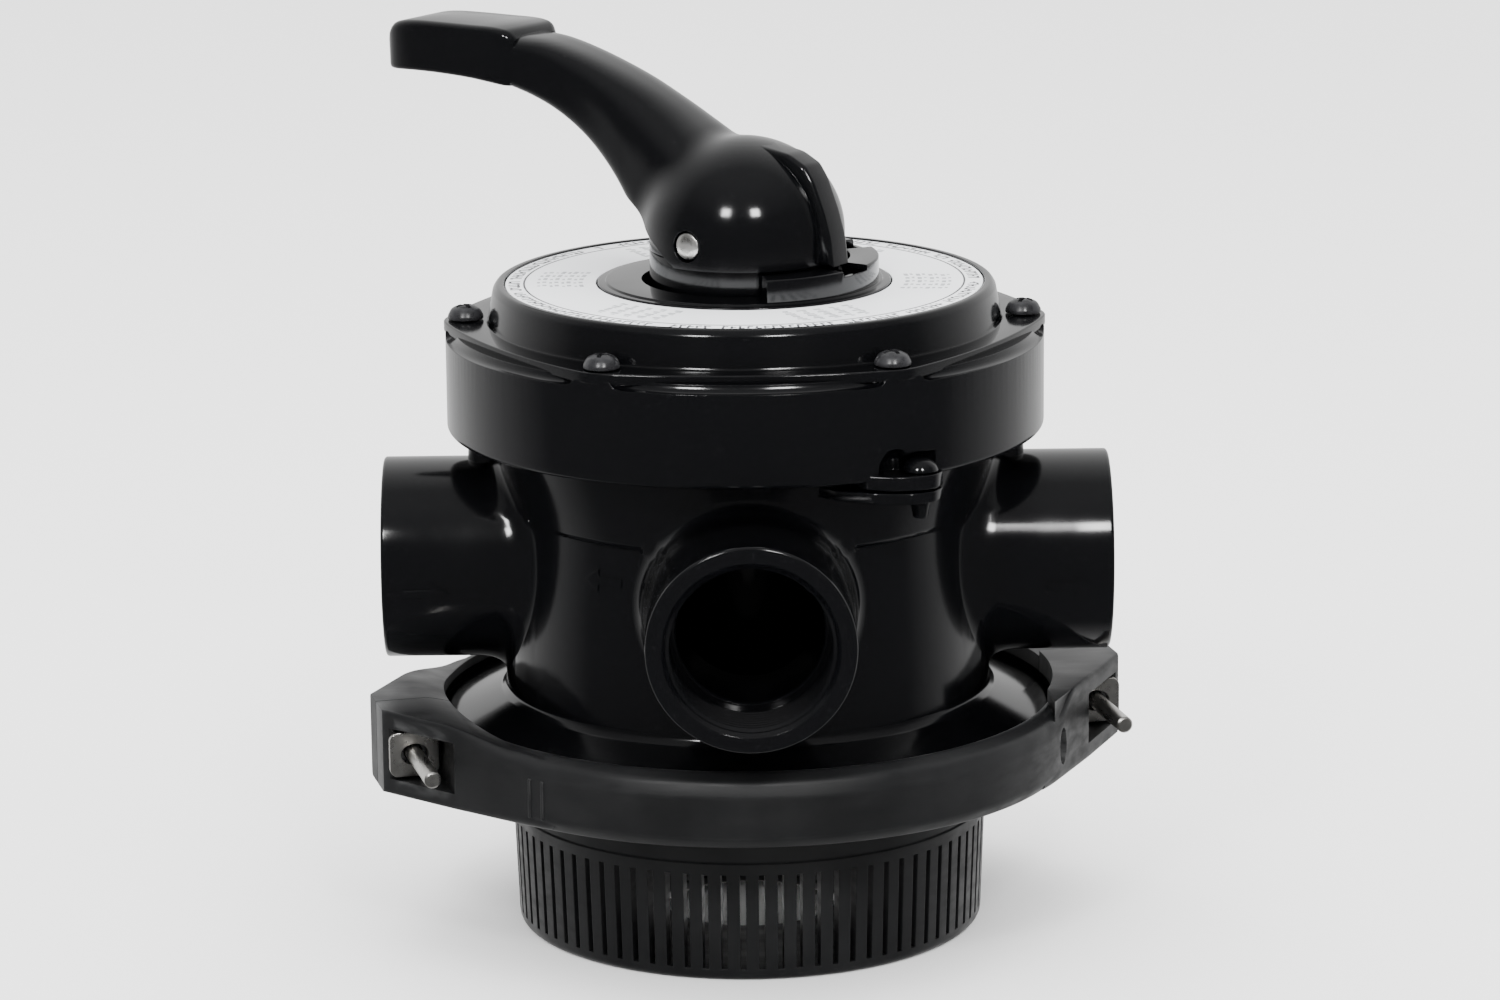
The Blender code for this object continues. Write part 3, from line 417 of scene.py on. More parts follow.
def black_painted_top_sheen():
    """The same plastic with a painted sheen from above: faces that look up get a lighter, streaked grey."""
    look, tree, shader = nodes_of("black_painted_top_sheen")
    streak = noise(tree, 240.0, 6.0, (0.35, 1.6, 1.0))
    cloud = noise(tree, 70.0, 3.0)
    up = tree.nodes.new("ShaderNodeSeparateXYZ")
    tree.links.new(tree.nodes.new("ShaderNodeNewGeometry").outputs["Normal"], up.inputs[0])
    # painted light from above: faces whose normal points up take the lighter streaked grey, the sides keep
    # the dark
    top = ranged(tree, up.outputs["Z"], 0.80, 0.97, 0.0, 1.0)
    colour = mixed(tree, ranged(tree, streak, 0.3, 0.7, 0.0, 1.0), (0.014, 0.0143, 0.0148),
                   (0.036, 0.0368, 0.0375))
    colour = mixed(tree, top, (0.0070, 0.0072, 0.0078), colour)
    painted(tree, shader, colour, ranged(tree, cloud, 0.3, 0.7, 0.36, 0.52))
    bumped(tree, shader, streak, 0.25, 0.12, 0.4)
    return look


def stainless():
    """Drawn stainless steel with fine marks along the part."""
    look, tree, shader = nodes_of("stainless")
    marks = noise(tree, 520.0, 5.0, (1.0, 0.08, 1.0))
    cloud = noise(tree, 120.0, 3.0)
    colour = mixed(tree, ranged(tree, cloud, 0.3, 0.7, 0.0, 1.0), (0.62, 0.605, 0.575),
                   (0.78, 0.77, 0.74))
    painted(tree, shader, colour, ranged(tree, marks, 0.3, 0.7, 0.22, 0.40))
    shader.inputs["Metallic"].default_value = 1.0
    bumped(tree, shader, marks, 0.20, 0.05, 0.25)
    return look


def plain(name, colour_a, colour_b, rough_low, rough_high, scale, bump_mm=0.03):
    """A cloudy mix of two colours with a fine grain."""
    look, tree, shader = nodes_of(name)
    cloud = noise(tree, scale, 4.0)
    colour = mixed(tree, ranged(tree, cloud, 0.3, 0.7, 0.0, 1.0), colour_a, colour_b)
    painted(tree, shader, colour, ranged(tree, cloud, 0.3, 0.7, rough_low, rough_high))
    bumped(tree, shader, noise(tree, scale * 14, 2.0), 0.2, bump_mm, 0.2)
    return look


GLOSS = glossy_black()
SATIN = satin_black()
TOP_SHEEN_BLACK = black_painted_top_sheen()
STEEL = stainless()
RUBBER = plain("seal_rubber", (0.012, 0.012, 0.012), (0.022, 0.022, 0.022), 0.55, 0.75, 90.0)
LABEL = plain("label_white", (0.80, 0.815, 0.84), (0.83, 0.845, 0.86), 0.30, 0.38, 40.0, 0.01)
INK = plain("label_ink", (0.05, 0.05, 0.055), (0.09, 0.09, 0.095), 0.45, 0.55, 300.0, 0.005)
FAINT_INK = plain("label_faint_ink", (0.30, 0.31, 0.33), (0.40, 0.41, 0.42), 0.4, 0.5, 300.0, 0.005)
GREY = plain("rotor_grey", (0.13, 0.14, 0.15), (0.18, 0.19, 0.20), 0.35, 0.5, 60.0)
WHITE = plain("washer_white", (0.76, 0.76, 0.72), (0.84, 0.84, 0.80), 0.35, 0.45, 60.0)
SCREW = plain("screw_black", (0.010, 0.010, 0.011), (0.022, 0.022, 0.024), 0.22, 0.38, 400.0)


# ---- levels from the frame

BODY_NODES = ("valve_body", "body_foot", "body_collar", "pump_port_socket", "waste_port_socket",
              "pool_port_socket")
RIM_R, RIM_TOP, SPIGOT_LOW = 79.0, high("body_collar"), low("body_foot")
FLANGE_R, FLANGE_LOW, FLANGE_EDGE = 95.2, 56.0, 62.8
SPIGOT_R = 66.8
BODY_R, TAPER, TAPER_LOW = 72.7, 3.2, 86.0
SEAM, COLLAR_FOOT = 128.6, 149.0
COLLAR_LOW_R, COLLAR_R, COLLAR_TOP = 71.4, 76.0, 158.0
CHAMBER_R, FLOOR, FLOOR_THICK, SEAT_LOW, SEAT_TOP = 62.8, 72.0, 3.5, 133.4, 137.4
TUBE_R, TUBE_BORE_R, PIPE_TOP = 29.5, 24.6, 128.0
ROTOR_BORE_R = 64.5
LID_GROOVE, TANK_GROOVE, PIPE_GROOVE = (68.0, 72.2), (74.4, 81.8), (20.0, 27.2)
WINDOW = (33.0, 57.0)      # the six openings in the rotor's seat
PORT_R, PORT_Z = 30.0, 111.9
SIDE_END = (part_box("waste_port_socket")[1][0] - AXIS.x) / MM
FRONT_END = (AXIS.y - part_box("pool_port_socket")[0][1]) / MM
PORTS = ((180, SIDE_END), (0, SIDE_END), (-90, FRONT_END))
THREAD_PITCH = 2.309       # 1.5 inch pipe thread, eleven turns to the inch
THREAD_R, THREAD_DEEP, THREAD_LONG, BORE_R, BORE_END = 24.2, 1.1, 22.0, 21.2, 45.0
FILLET = 9.0               # where a port runs into the body
HOLE_R = 2.8               # holes for the lid's screws and for the rivet

SKIRT_R = radius_of("locking_ring")
SKIRT_LOW, SKIRT_TOP = 152.1, high("locking_ring")
RING_LIP = SKIRT_TOP + 1.5
LOCK_AZ, LOCK_R = -57.0, 90.0
LUG_HIGH, LUG_MID_HIGH, LUG_MID_LOW, LUG_LOW = 154.2, 150.0, 149.3, 146.0
SCREWS, SCREW_CIRCLE_R, SCREW_HEAD_R = 6, 82.8, 5.3

LID_LOW, LID_TOP = 180.9, 184.2
LID_SPIGOT_R, LID_SPIGOT_LOW, STEM_HOLE_R, SCREW_SEAT_R = 63.5, 172.0, 11.5, 6.6
LID_CORNER_R, LID_SIDE_R = 90.0, 83.6
PLATEAU_R, PLATEAU_RIM_R, PLATEAU_TOP = 76.3, 74.6, 195.4
LABEL_TOP, LABEL_LOW = high("label_plate"), low("label_plate")
LABEL_IN, LABEL_OUT, LABEL_SEAT_R = 44.0, radius_of("label_plate"), 71.3
BOSS_R, BOSS_STEP_R, BOSS_TOP = 43.5, 41.0, 196.0
WELL_R, WELL_FLOOR = 30.4, 189.2
ARC_IN, ARC_OUT, ARC_TOP = 31.4, 40.0, high("lid")
ARC_FROM, ARC_TO = -81.0, 131.0
NOTCH_STEP, NOTCH_WIDTH, NOTCH_WALL, NOTCH_DIP = 60.0, 12.6, 1.6, 1.6

HANDLE_DEG = 145.0
PIN_Z = (low("lever_pin") + high("lever_pin")) / 2
PIN_R = (high("lever_pin") - low("lever_pin")) / 2
PIN_HALF = 29.8
BEARING_R = 28.0
DOME_R, DOME_TOP, HEM = 30.0, 238.3, low("lever")
GRIP_TOP = high("lever")

CLAMP_DEG = 13.5
CLAMP_R, CLAMP_LIP_R, CLAMP_GROOVE_R = 98.4, 91.8, 95.7
CLAMP_LOW, CLAMP_TOP, LUG_TOP = low("clamp_band_front"), 70.4, high("clamp_band_front")
GROOVE_LOW, GROOVE_HIGH = 51.8, 66.6
LUG_END, LUG_FRONT, LUG_BACK, LUG_FOOT_DEG = 114.0, 10.0, 9.6, 35.1
BOLT_X, BOLT_Z, BOLT_R, BOLT_FRONT = 105.4, 61.4, 2.5, 43.4
PLATE_W, PLATE_H, PLATE_T, PLATE_BACK = 14.8, 13.6, 2.4, 12.6
HEAD_SEAT = 13.5
RECESS_DEG, FLUTES_DEG = -32.5, (-144.2, -141.4)


# ---- basket

def basket():
    """Thin slotted cup, with a rib left between each pair of slots."""
    wall, slots, slot_wide, slot_low, slot_high = 2.9, 80, 1.8, 3.6, 32.7
    base_r, top_r, hole_r = 70.0, radius_of("diffuser_basket"), 26.0
    top, step = high("diffuser_basket"), 36.2
    cup = turned("cup", [
        (top_r - wall, top), (top_r - 0.6, top, 0.5), (top_r - 0.6, step + 0.2, 0.3),
        (top_r, step - 0.2, 0.3), (top_r - 0.3, slot_high + 0.6), (base_r, 0.0, 2.2),
        (hole_r, 0.0, 0.8), (hole_r, 3.0, 0.8), (base_r - wall, 3.0, 1.0),
        (base_r - wall, slot_high + 2.0)], 160)
    tools = []
    for k in range(slots):
        tool = box("slot", base_r - 6.0, base_r + 3.0, -slot_wide / 2, slot_wide / 2, slot_low, slot_high)
        tools.append(spun(tool, 360 * (k + 0.5) / slots))
    cut(cup, merged("slots", tools))
    piece(cup, "basket_cup", SATIN, "satin_black", "root", "diffuser_basket")


# ---- body

def body_wall(z):
    """Outer radius of the body's slightly tapered wall."""
    if z >= SEAM:
        t = min(1.0, (z - SEAM) / (COLLAR_FOOT - SEAM))
        return COLLAR_LOW_R + (COLLAR_R - 0.8 - COLLAR_LOW_R) * t
    t = min(1.0, max(0.0, (z - TAPER_LOW) / (SEAM - 0.4 - TAPER_LOW)))
    return BODY_R - TAPER * t


def port_tube(bearing, end):
    """A port with a soft fillet running into the body's wall."""
    steps = 96
    rings = []
    angles = [2 * pi * k / steps for k in range(steps)]
    inside = 52.0

    def ring(x, radius):
        return [(x, radius * sin(a), PORT_Z + radius * cos(a)) for a in angles]

    def on_wall(a, radius):
        y, z = radius * sin(a), PORT_Z + radius * cos(a)
        return sqrt(max(0.0, body_wall(z) ** 2 - y * y))

    for k in range(7):
        turn = pi / 2 * k / 6
        rings.append(ring(end - 1.0 + 1.0 * cos(turn), PORT_R - 1.0 + 1.0 * sin(turn)))
    rings.append(ring(end - 12.0, PORT_R))
    for k in range(13):
        t = k / 12
        row = []
        for a in angles:
            start = on_wall(a, PORT_R) + FILLET
            corner = on_wall(a, PORT_R)
            foot_r = PORT_R + FILLET * 0.62
            foot = on_wall(a, foot_r) - 0.25
            x = (1 - t) ** 2 * start + 2 * t * (1 - t) * corner + t * t * foot
            r = (1 - t) ** 2 * PORT_R + 2 * t * (1 - t) * PORT_R + t * t * foot_r
            row.append((x, r * sin(a), PORT_Z + r * cos(a)))
        rings.append(row)
    last = rings[-1]
    rings.append([(inside, p[1], p[2]) for p in last])
    return spun(loft("port", rings), bearing)


def port_bore(bearing, end):
    """Cutter for a port: ring grooves that stand for the thread, then the plain bore."""
    turns = int((THREAD_LONG - 3.0) / THREAD_PITCH)
    outline = [(0.0, end + 5), (THREAD_R + 1.2, end + 5), (THREAD_R + 1.2, end), (THREAD_R, end - 1.4)]
    for k in range(turns):
        z = end - 1.8 - k * THREAD_PITCH
        outline += [(THREAD_R, z), (THREAD_R - THREAD_DEEP, z - THREAD_PITCH * 0.42),
                    (THREAD_R - THREAD_DEEP, z - THREAD_PITCH * 0.58)]
    outline += [(THREAD_R - 0.3, end - THREAD_LONG + 0.8), (THREAD_R - 0.3, end - THREAD_LONG),
                (BORE_R + 0.6, end - THREAD_LONG), (BORE_R, end - THREAD_LONG - 0.6), (BORE_R, BORE_END),
                (0.0, BORE_END)]
    tool = turned("bore", outline, 96)
    return laid(tool, bearing, PORT_Z)


def rivet_hole(bottom, top):
    return set_at(rod("hole", HOLE_R, bottom, top, 32), LOCK_R, LOCK_AZ)


def valve_body():
    shell = turned("body", [
        (0.0, RIM_TOP), (RIM_R, RIM_TOP, 0.6), (RIM_R, COLLAR_TOP, 1.0), (COLLAR_R, COLLAR_TOP, 1.0),
        (COLLAR_R - 0.8, COLLAR_FOOT), (COLLAR_LOW_R, SEAM + 1.6, 1.6), (COLLAR_LOW_R - 0.9, SEAM, 0.5),
        (BODY_R - TAPER, SEAM - 0.4), (BODY_R, TAPER_LOW), (BODY_R, 74.0, 2.0), (BODY_R + 1.6, 72.0, 1.4),
        (90.0, 66.4, 8.0), (FLANGE_R - 1.0, FLANGE_EDGE + 1.0, 1.5), (FLANGE_R, FLANGE_EDGE - 0.6, 1.0),
        (FLANGE_R, FLANGE_LOW, 0.8), (SPIGOT_R, FLANGE_LOW, 0.5), (SPIGOT_R, SPIGOT_LOW, 0.6),
        (0.0, SPIGOT_LOW)])
    for bearing, end in PORTS:
        join(shell, port_tube(bearing, end))
    for side in (-1, 1):
        column = turned("column", [(0, COLLAR_TOP - 6.8), (6.0, COLLAR_TOP - 6.8, 1.2),
                                   (6.8, PORT_Z + 24.0), (7.4, PORT_Z + 14.0), (0, PORT_Z + 14.0)], 48)
        join(shell, shifted(column, 76.6 * side))
    lug = prism("lug", [(66.0, -23.5), (78.5, -21.5, 0.6), (88.5, -15.0, 6.0), (95.6, -6.0, 5.0),
                        (96.2, 1.0, 4.0), (93.0, 6.3, 4.0), (66.0, 6.3)], LUG_LOW, LUG_MID_LOW, 0.5)
    join(shell, spun(lug, LOCK_AZ))
    cut(shell, rivet_hole(LUG_LOW - 3, LUG_MID_LOW + 3))

    cut(shell, rod("rotor_bore", ROTOR_BORE_R, SEAT_TOP, RIM_TOP + 5, 96))
    cut(shell, turned("under", [(TUBE_R, FLOOR, 1.0), (CHAMBER_R, FLOOR, 1.0), (CHAMBER_R, SPIGOT_LOW - 3),
                                (TUBE_R, SPIGOT_LOW - 3)], 96))
    near, far = LID_GROOVE
    floor = RIM_TOP - 3.5
    cut(shell, turned("lid_groove", [(near, RIM_TOP + 3), (far, RIM_TOP + 3), (far, floor, 0.4),
                                     (near, floor, 0.4)], 96))
    near, far = TANK_GROOVE
    roof = FLANGE_LOW + 4.2
    cut(shell, turned("tank_groove", [(near, roof, 0.6), (far, roof, 0.6), (far, FLANGE_LOW - 3),
                                      (near, FLANGE_LOW - 3)], 128))
    chambers = ((-28, 28, False), (-148, -32, False), (152, 208, False), (32, 88, False), (92, 148, True))
    tools = []
    for start, end, open_below in chambers:
        bottom = FLOOR - 2 if open_below else FLOOR + FLOOR_THICK
        tools.append(tube("chamber", TUBE_R + 0.4, CHAMBER_R - 0.2, bottom, SEAT_LOW, 96, start, end - start))
    cut(shell, merged("chambers", tools))
    cut(shell, rod("pipe_bore", TUBE_BORE_R, SPIGOT_LOW - 3, PIPE_TOP, 64))
    cut(shell, tube("pipe_window", TUBE_BORE_R - 3, TUBE_R + 4, FLOOR + 8, SEAT_LOW - 10, 96, 40, 40))
    cut(shell, tube("pipe_groove", *PIPE_GROOVE, 45.0, 49.0, 64))
    for bearing, end in PORTS:
        cut(shell, port_bore(bearing, end))
    windows = [tube("window", *WINDOW, SEAT_LOW - 2, SEAT_TOP + 2, 96, 60 * k - 25, 50)
               for k in range(6)]
    cut(shell, merged("windows", windows))
    piece(shell, "body_shell", GLOSS, "gloss_black", "root", *BODY_NODES)


ARROW = ((-7, -1.3), (1.5, -1.3), (1.5, -3.6), (7, 0), (1.5, 3.6), (1.5, 1.3), (-7, 1.3))


def arrow(name, to_place):
    """A moulded flow arrow, bent onto a wall by to_place(along, across, out)."""
    mark = prism("mark", ARROW, -0.4, 0.5, 0.15)
    for vert in mark.data.vertices:
        vert.co = Vector(to_place(*(vert.co / MM))) * MM
    piece(mark, name, GLOSS, "gloss_black", "root")


def flow_arrows():
    """Generic arrows beside the ports: in at the pump side, out at the other two."""
    turn = radians(-98.0)

    def on_port(side):
        def place(along, across, out):
            a = turn + across / PORT_R
            radius = PORT_R + out
            return (side * (SIDE_END - 13.0) + along, radius * sin(a), PORT_Z + radius * cos(a))
        return place

    def on_body(along, across, out):
        a, z = radians(-127.0) - along / BODY_R, PORT_Z + 6.0 + across
        return ((body_wall(z) + out) * cos(a), (body_wall(z) + out) * sin(a), z)

    arrow("flow_arrow_in", on_port(-1))
    arrow("flow_arrow_waste", on_port(1))
    arrow("flow_arrow_out", on_body)


# ---- ring, lid, label

def locking_ring():
    ring = turned("ring", [
        (79.4, SKIRT_TOP), (82.5, SKIRT_TOP), (83.0, RING_LIP), (SKIRT_R, RING_LIP, 0.9),
        (SKIRT_R, SKIRT_LOW, 1.6), (76.6, SKIRT_LOW, 0.5),
        (76.6, COLLAR_TOP - 0.3), (79.4, COLLAR_TOP - 0.3)], 192)
    lug = prism("lug", [(77.6, -17.0), (86.8, -16.5, 1.0), (93.0, -10.5, 5.0), (96.2, -3.0, 6.0),
                        (96.2, 1.6, 4.0), (93.0, 6.3, 4.0), (77.6, 6.3)], LUG_MID_HIGH, LUG_HIGH, 0.5)
    join(ring, spun(lug, LOCK_AZ))
    tools = []
    for k in range(SCREWS):
        tools.append(set_at(rod("pilot", HOLE_R, 166.0, RING_LIP + 3, 32), SCREW_CIRCLE_R, 360 * k / SCREWS))
        tools.append(scoop(360 * (k + 0.5) / SCREWS))
    cut(ring, merged("cuts", tools))
    floor = LUG_HIGH - 0.05
    recess = turned("recess", [(0, floor + 5.6), (6.4, floor + 5.2, 0.5), (6.4, floor), (0, floor)], 48)
    cut(ring, set_at(recess, LOCK_R, LOCK_AZ))
    arch = turned("arch", [(0, floor + 7.2), (2.6, floor + 6.6, 2.0), (5.0, floor + 3.4, 2.0),
                           (5.3, floor), (0, floor)], 48)
    cut(ring, set_at(arch, SKIRT_R, LOCK_AZ - 5.0))
    cut(ring, rivet_hole(LUG_MID_HIGH - 2, LUG_HIGH + 1))
    piece(ring, "skirt_ring", GLOSS, "gloss_black", "root", "locking_ring")


def scoop(middle):
    """Cutter for the long recess in the ring's top edge below a flat side of the lid."""
    half, deep, inward, steps = 26.5, 2.4, 2.6, 48
    rings = []
    for k in range(steps + 1):
        along = -half + 2 * half * k / steps
        edge = (half - abs(along)) / 3.2
        grow = sqrt(max(0.0, 1 - (1 - min(1.0, edge)) ** 2)) * 0.97 + 0.03
        a = radians(middle + along)
        outer, inner = SKIRT_R + 2.0, SKIRT_R - inward * grow
        floor = RING_LIP - deep * grow
        section = [(outer, RING_LIP + 1.0), (inner - 0.4, RING_LIP + 1.0), (inner, RING_LIP - 0.4 * grow)]
        for j in range(5):
            t = j / 4
            section.append((inner + (SKIRT_R - inner) * (t * 0.30 + 0.70 * t * t),
                            RING_LIP - 0.4 * grow + (floor - RING_LIP + 0.4 * grow) * (1 - (1 - t) ** 2)))
        section.append((outer, floor - 0.1))
        rings.append([(r * cos(a), r * sin(a), z) for r, z in section])
    return loft("scoop", rings)


def hexagon_radius(degrees):
    """Radius of a hexagon with bowed sides and softly rounded corners."""
    corner, side = LID_CORNER_R, LID_SIDE_R
    back = (corner ** 2 - side ** 2) / (2 * (side - corner * cos(pi / 6)))
    bow = side + back
    softness = 0.9
    total = 0.0
    for k in range(6):
        turn = radians(degrees - 30 - 60 * k)
        reach = -back * cos(turn) + sqrt(bow ** 2 - (back * sin(turn)) ** 2)
        total += exp(-reach / softness)
    return -softness * log(total)


def lid():
    outline = [polar(hexagon_radius(360 * k / 240), 360 * k / 240) for k in range(240)]
    cover = prism("cover", outline, LID_LOW, LID_TOP, 0.5)
    rise = turned("rise", [
        (0.0, BOSS_TOP), (BOSS_STEP_R, BOSS_TOP, 0.4), (BOSS_STEP_R + 0.3, BOSS_TOP - 0.5, 0.2),
        (BOSS_R, BOSS_TOP - 0.6, 0.4), (BOSS_R, LABEL_LOW - 0.3), (LABEL_SEAT_R, LABEL_LOW - 0.3),
        (LABEL_SEAT_R, PLATEAU_TOP, 0.3), (PLATEAU_RIM_R - 1.2, PLATEAU_TOP, 1.5),
        (PLATEAU_RIM_R, PLATEAU_TOP - 1.8, 2.0), (PLATEAU_R, LID_TOP + 0.5, 0.6),
        (PLATEAU_R + 0.6, LID_TOP - 0.6), (PLATEAU_R + 0.6, LID_LOW + 1.0),
        (LID_SPIGOT_R, LID_LOW + 0.4), (LID_SPIGOT_R, LID_SPIGOT_LOW, 0.6), (0.0, LID_SPIGOT_LOW)], 192)
    join(cover, rise)
    arc = turned("arc", [(ARC_IN, ARC_TOP, 0.5), (ARC_OUT, ARC_TOP, 0.6), (ARC_OUT, BOSS_TOP - 1.5),
                         (ARC_IN, BOSS_TOP - 1.5)], 192, ARC_FROM, ARC_TO - ARC_FROM)
    join(cover, arc)
    cut(cover, turned("hollow", [(15.5, 185.2, 1.0), (33.0, 185.2), (36.0, 189.4), (60.4, 189.4, 1.5),
                                 (60.4, 168.0), (15.5, 168.0)], 96))
    cut(cover, turned("well", [(0, BOSS_TOP + 2), (WELL_R, BOSS_TOP + 2), (WELL_R, WELL_FLOOR, 0.4),
                               (0, WELL_FLOOR)], 128))
    cut(cover, rod("stem_hole", STEM_HOLE_R, 165.0, 200.0, 64))
    nose = HANDLE_DEG - 180
    for k in range(3):
        half, turn = NOTCH_WIDTH / 2, nose + NOTCH_STEP * k
        notch = box("notch", ARC_IN - 6, ARC_OUT - NOTCH_WALL, -half, half, BOSS_TOP + 1.2, ARC_TOP + 3)
        cut(cover, spun(notch, turn))
        dip = box("dip", ARC_IN, ARC_OUT + 6, -half, half, ARC_TOP - NOTCH_DIP, ARC_TOP + 3)
        cut(cover, spun(dip, turn))
    tools = []
    for k in range(SCREWS):
        turn = 360 * k / SCREWS
        tools.append(set_at(rod("hole", HOLE_R, LID_LOW - 3, LID_TOP + 3, 32), SCREW_CIRCLE_R, turn))
        tools.append(set_at(rod("seat", SCREW_SEAT_R, LID_TOP + 0.02, LID_TOP + 9, 48), SCREW_CIRCLE_R, turn))
    cut(cover, merged("holes", tools))
    piece(cover, "lid_cover", GLOSS, "gloss_black", "root", "lid")


def label():
    ring = turned("label", [(LABEL_IN, LABEL_TOP, 0.15), (LABEL_OUT, LABEL_TOP, 0.15),
                            (LABEL_OUT, LABEL_LOW), (LABEL_IN, LABEL_LOW)], 192)
    piece(ring, "label_ring", LABEL, "label_white", "root", "label_plate")


PRINT_LOW, PRINT_TOP = LABEL_TOP - 0.02, LABEL_TOP + 0.05
TICKS_R, CIRCLE = 68.2, (65.0, 65.55)


def print_mark(radius, tall, degrees, wide, turn=0.0):
    """One small printed bar: tall along the radius, wide along the circle."""
    mark = box("mark", -tall / 2, tall / 2, -wide / 2, wide / 2, PRINT_LOW, PRINT_TOP)
    spun(mark, turn)
    return spun(shifted(mark, radius), degrees)


def label_print():
    """Generic print: a thin circle, a dial of ticks round it and blocks of grey bars."""
    rng = np.random.default_rng(5)
    marks = [tube("circle", *CIRCLE, PRINT_LOW, PRINT_TOP, 192)]
    degrees = 0.0
    while degrees < 357:
        wide = float(rng.uniform(1.0, 1.7))
        tall = float(rng.choice([3.4, 3.4, 2.4]))
        if rng.uniform() > 0.14:
            marks.append(print_mark(TICKS_R, tall, degrees, 0.62, float(rng.uniform(-12, 12))))
            beside = TICKS_R + float(rng.choice([-1.2, 0.0, 1.2]))
            marks.append(print_mark(beside, 0.7, degrees + 0.6, wide))
            degrees += 2.0
        else:
            degrees += 2.4
    inks = merged("marks", marks)
    piece(inks, "label_ink_ring", INK, "label_white", "root")
    marks = []
    for sector in range(6):
        middle = HANDLE_DEG - 180 + 60 * sector + 30
        for row in range(4):
            radius = 48.5 + row * 3.6
            span = 15 - row
            for k in range(5):
                turn = middle + (k - 2) * span / 2.6
                marks.append(print_mark(radius, 1.2, turn, float(rng.uniform(1.4, 3.0))))
                marks.append(print_mark(radius + 1.7, 0.8, turn + 0.6, float(rng.uniform(1.0, 2.4))))
    piece(merged("bars", marks), "label_ink_bars", FAINT_INK, "label_white", "root")


# ---- fasteners

def lid_screws():
    """Pan-head screws with a cross recess."""
    head = LID_TOP + 0.3
    for number in range(1, SCREWS + 1):
        screw = turned("screw", [
            (0.0, head + 4.2), (2.2, head + 4.0, 2.0), (4.3, head + 3.0, 2.2),
            (SCREW_HEAD_R, head + 1.0, 1.2), (SCREW_HEAD_R, head, 0.3), (2.4, head), (2.4, 170.0),
            (1.2, 168.2), (0.0, 168.0)], SMALL)
        for turn in (0, 90):
            slot = loft("slot", [[(x, -w, head + 1.8), (x, w, head + 1.8), (x, w * 1.6, head + 5.0),
                                  (x, -w * 1.6, head + 5.0)]
                                 for x, w in ((-3.0, 0.42), (-1.4, 0.55), (1.4, 0.55), (3.0, 0.42))])
            cut(screw, spun(slot, turn))
        spun(screw, 20 + 47 * number)        # each cross stops at its own turn
        set_at(screw, SCREW_CIRCLE_R, 360 * (number - 1) / SCREWS)
        piece(screw, "screw_%d" % number, SCREW, "screw_black", "root", "lid_screw_%d" % number)


def lock_rivet():
    seat = LUG_HIGH + 0.3
    rivet = turned("rivet", [
        (0.0, seat + 3.8), (2.6, seat + 3.5, 3.0), (4.6, seat + 1.8, 2.6), (5.2, seat + 0.3, 0.5),
        (5.2, seat, 0.2), (2.45, seat), (2.45, LUG_LOW - 0.6), (2.85, LUG_LOW - 1.2, 0.4),
        (2.1, LUG_LOW - 5.4, 0.5), (0.0, LUG_LOW - 5.4)], SMALL)
    cut(rivet, box("split", -4, 4, -0.55, 0.55, LUG_LOW - 8, LUG_LOW - 0.2))
    set_at(spun(rivet, 12), LOCK_R, LOCK_AZ)
    piece(rivet, "snap_rivet", GLOSS, "gloss_black", "root", "lock_rivet")


# ---- lever

def read(table, along):
    """A smooth curve through a few (along, value) knots."""
    xs = [a for a, _ in table]
    ys = [b for _, b in table]
    if along <= xs[0]:
        return ys[0]
    if along >= xs[-1]:
        return ys[-1]
    k = max(i for i in range(len(xs) - 1) if xs[i] <= along)
    slope = []
    for i in range(len(xs)):
        a, b = max(0, i - 1), min(len(xs) - 1, i + 1)
        slope.append((ys[b] - ys[a]) / (xs[b] - xs[a]))
    width = xs[k + 1] - xs[k]
    t = (along - xs[k]) / width
    return ((2 * t ** 3 - 3 * t ** 2 + 1) * ys[k] + (t ** 3 - 2 * t ** 2 + t) * width * slope[k]
            + (3 * t ** 2 - 2 * t ** 3) * ys[k + 1] + (t ** 3 - t ** 2) * width * slope[k + 1])


ARM_TOP = ((-4, 231.0), (6, 235.6), (14, 240.8), (24, 246.8), (34, 251.8), (45, 256.2), (57, 260.0),
           (68, 262.4), (79, 263.2))
ARM_LOW = ((-4, 206.0), (6, 207.0), (20, 209.0), (27, 210.8), (30.5, 214.4), (37, 223.0), (44, 230.2),
           (51, 235.8), (60, 241.2), (69, 245.0), (79, 248.0))
ARM_HALF = ((-4, 20.0), (6, 20.0), (20, 18.2), (34, 15.2), (48, 12.6), (62, 11.6), (79, 11.8))
ARM_FROM, ARM_TO = -4.0, 79.0
ARM_UNDER = 0.34           # how round the arm's underside is
DOME_FOOT, HEEL_TOP = 200.0, 214.0
BLEND = 4.0                # how widely the arm runs into the dome


def crown(along):
    """How round the arm's top is: nearly half a circle by the dome, flatter by the grip."""
    return 0.86 - 0.26 * min(1.0, max(0.0, (along - 20.0) / 50.0))


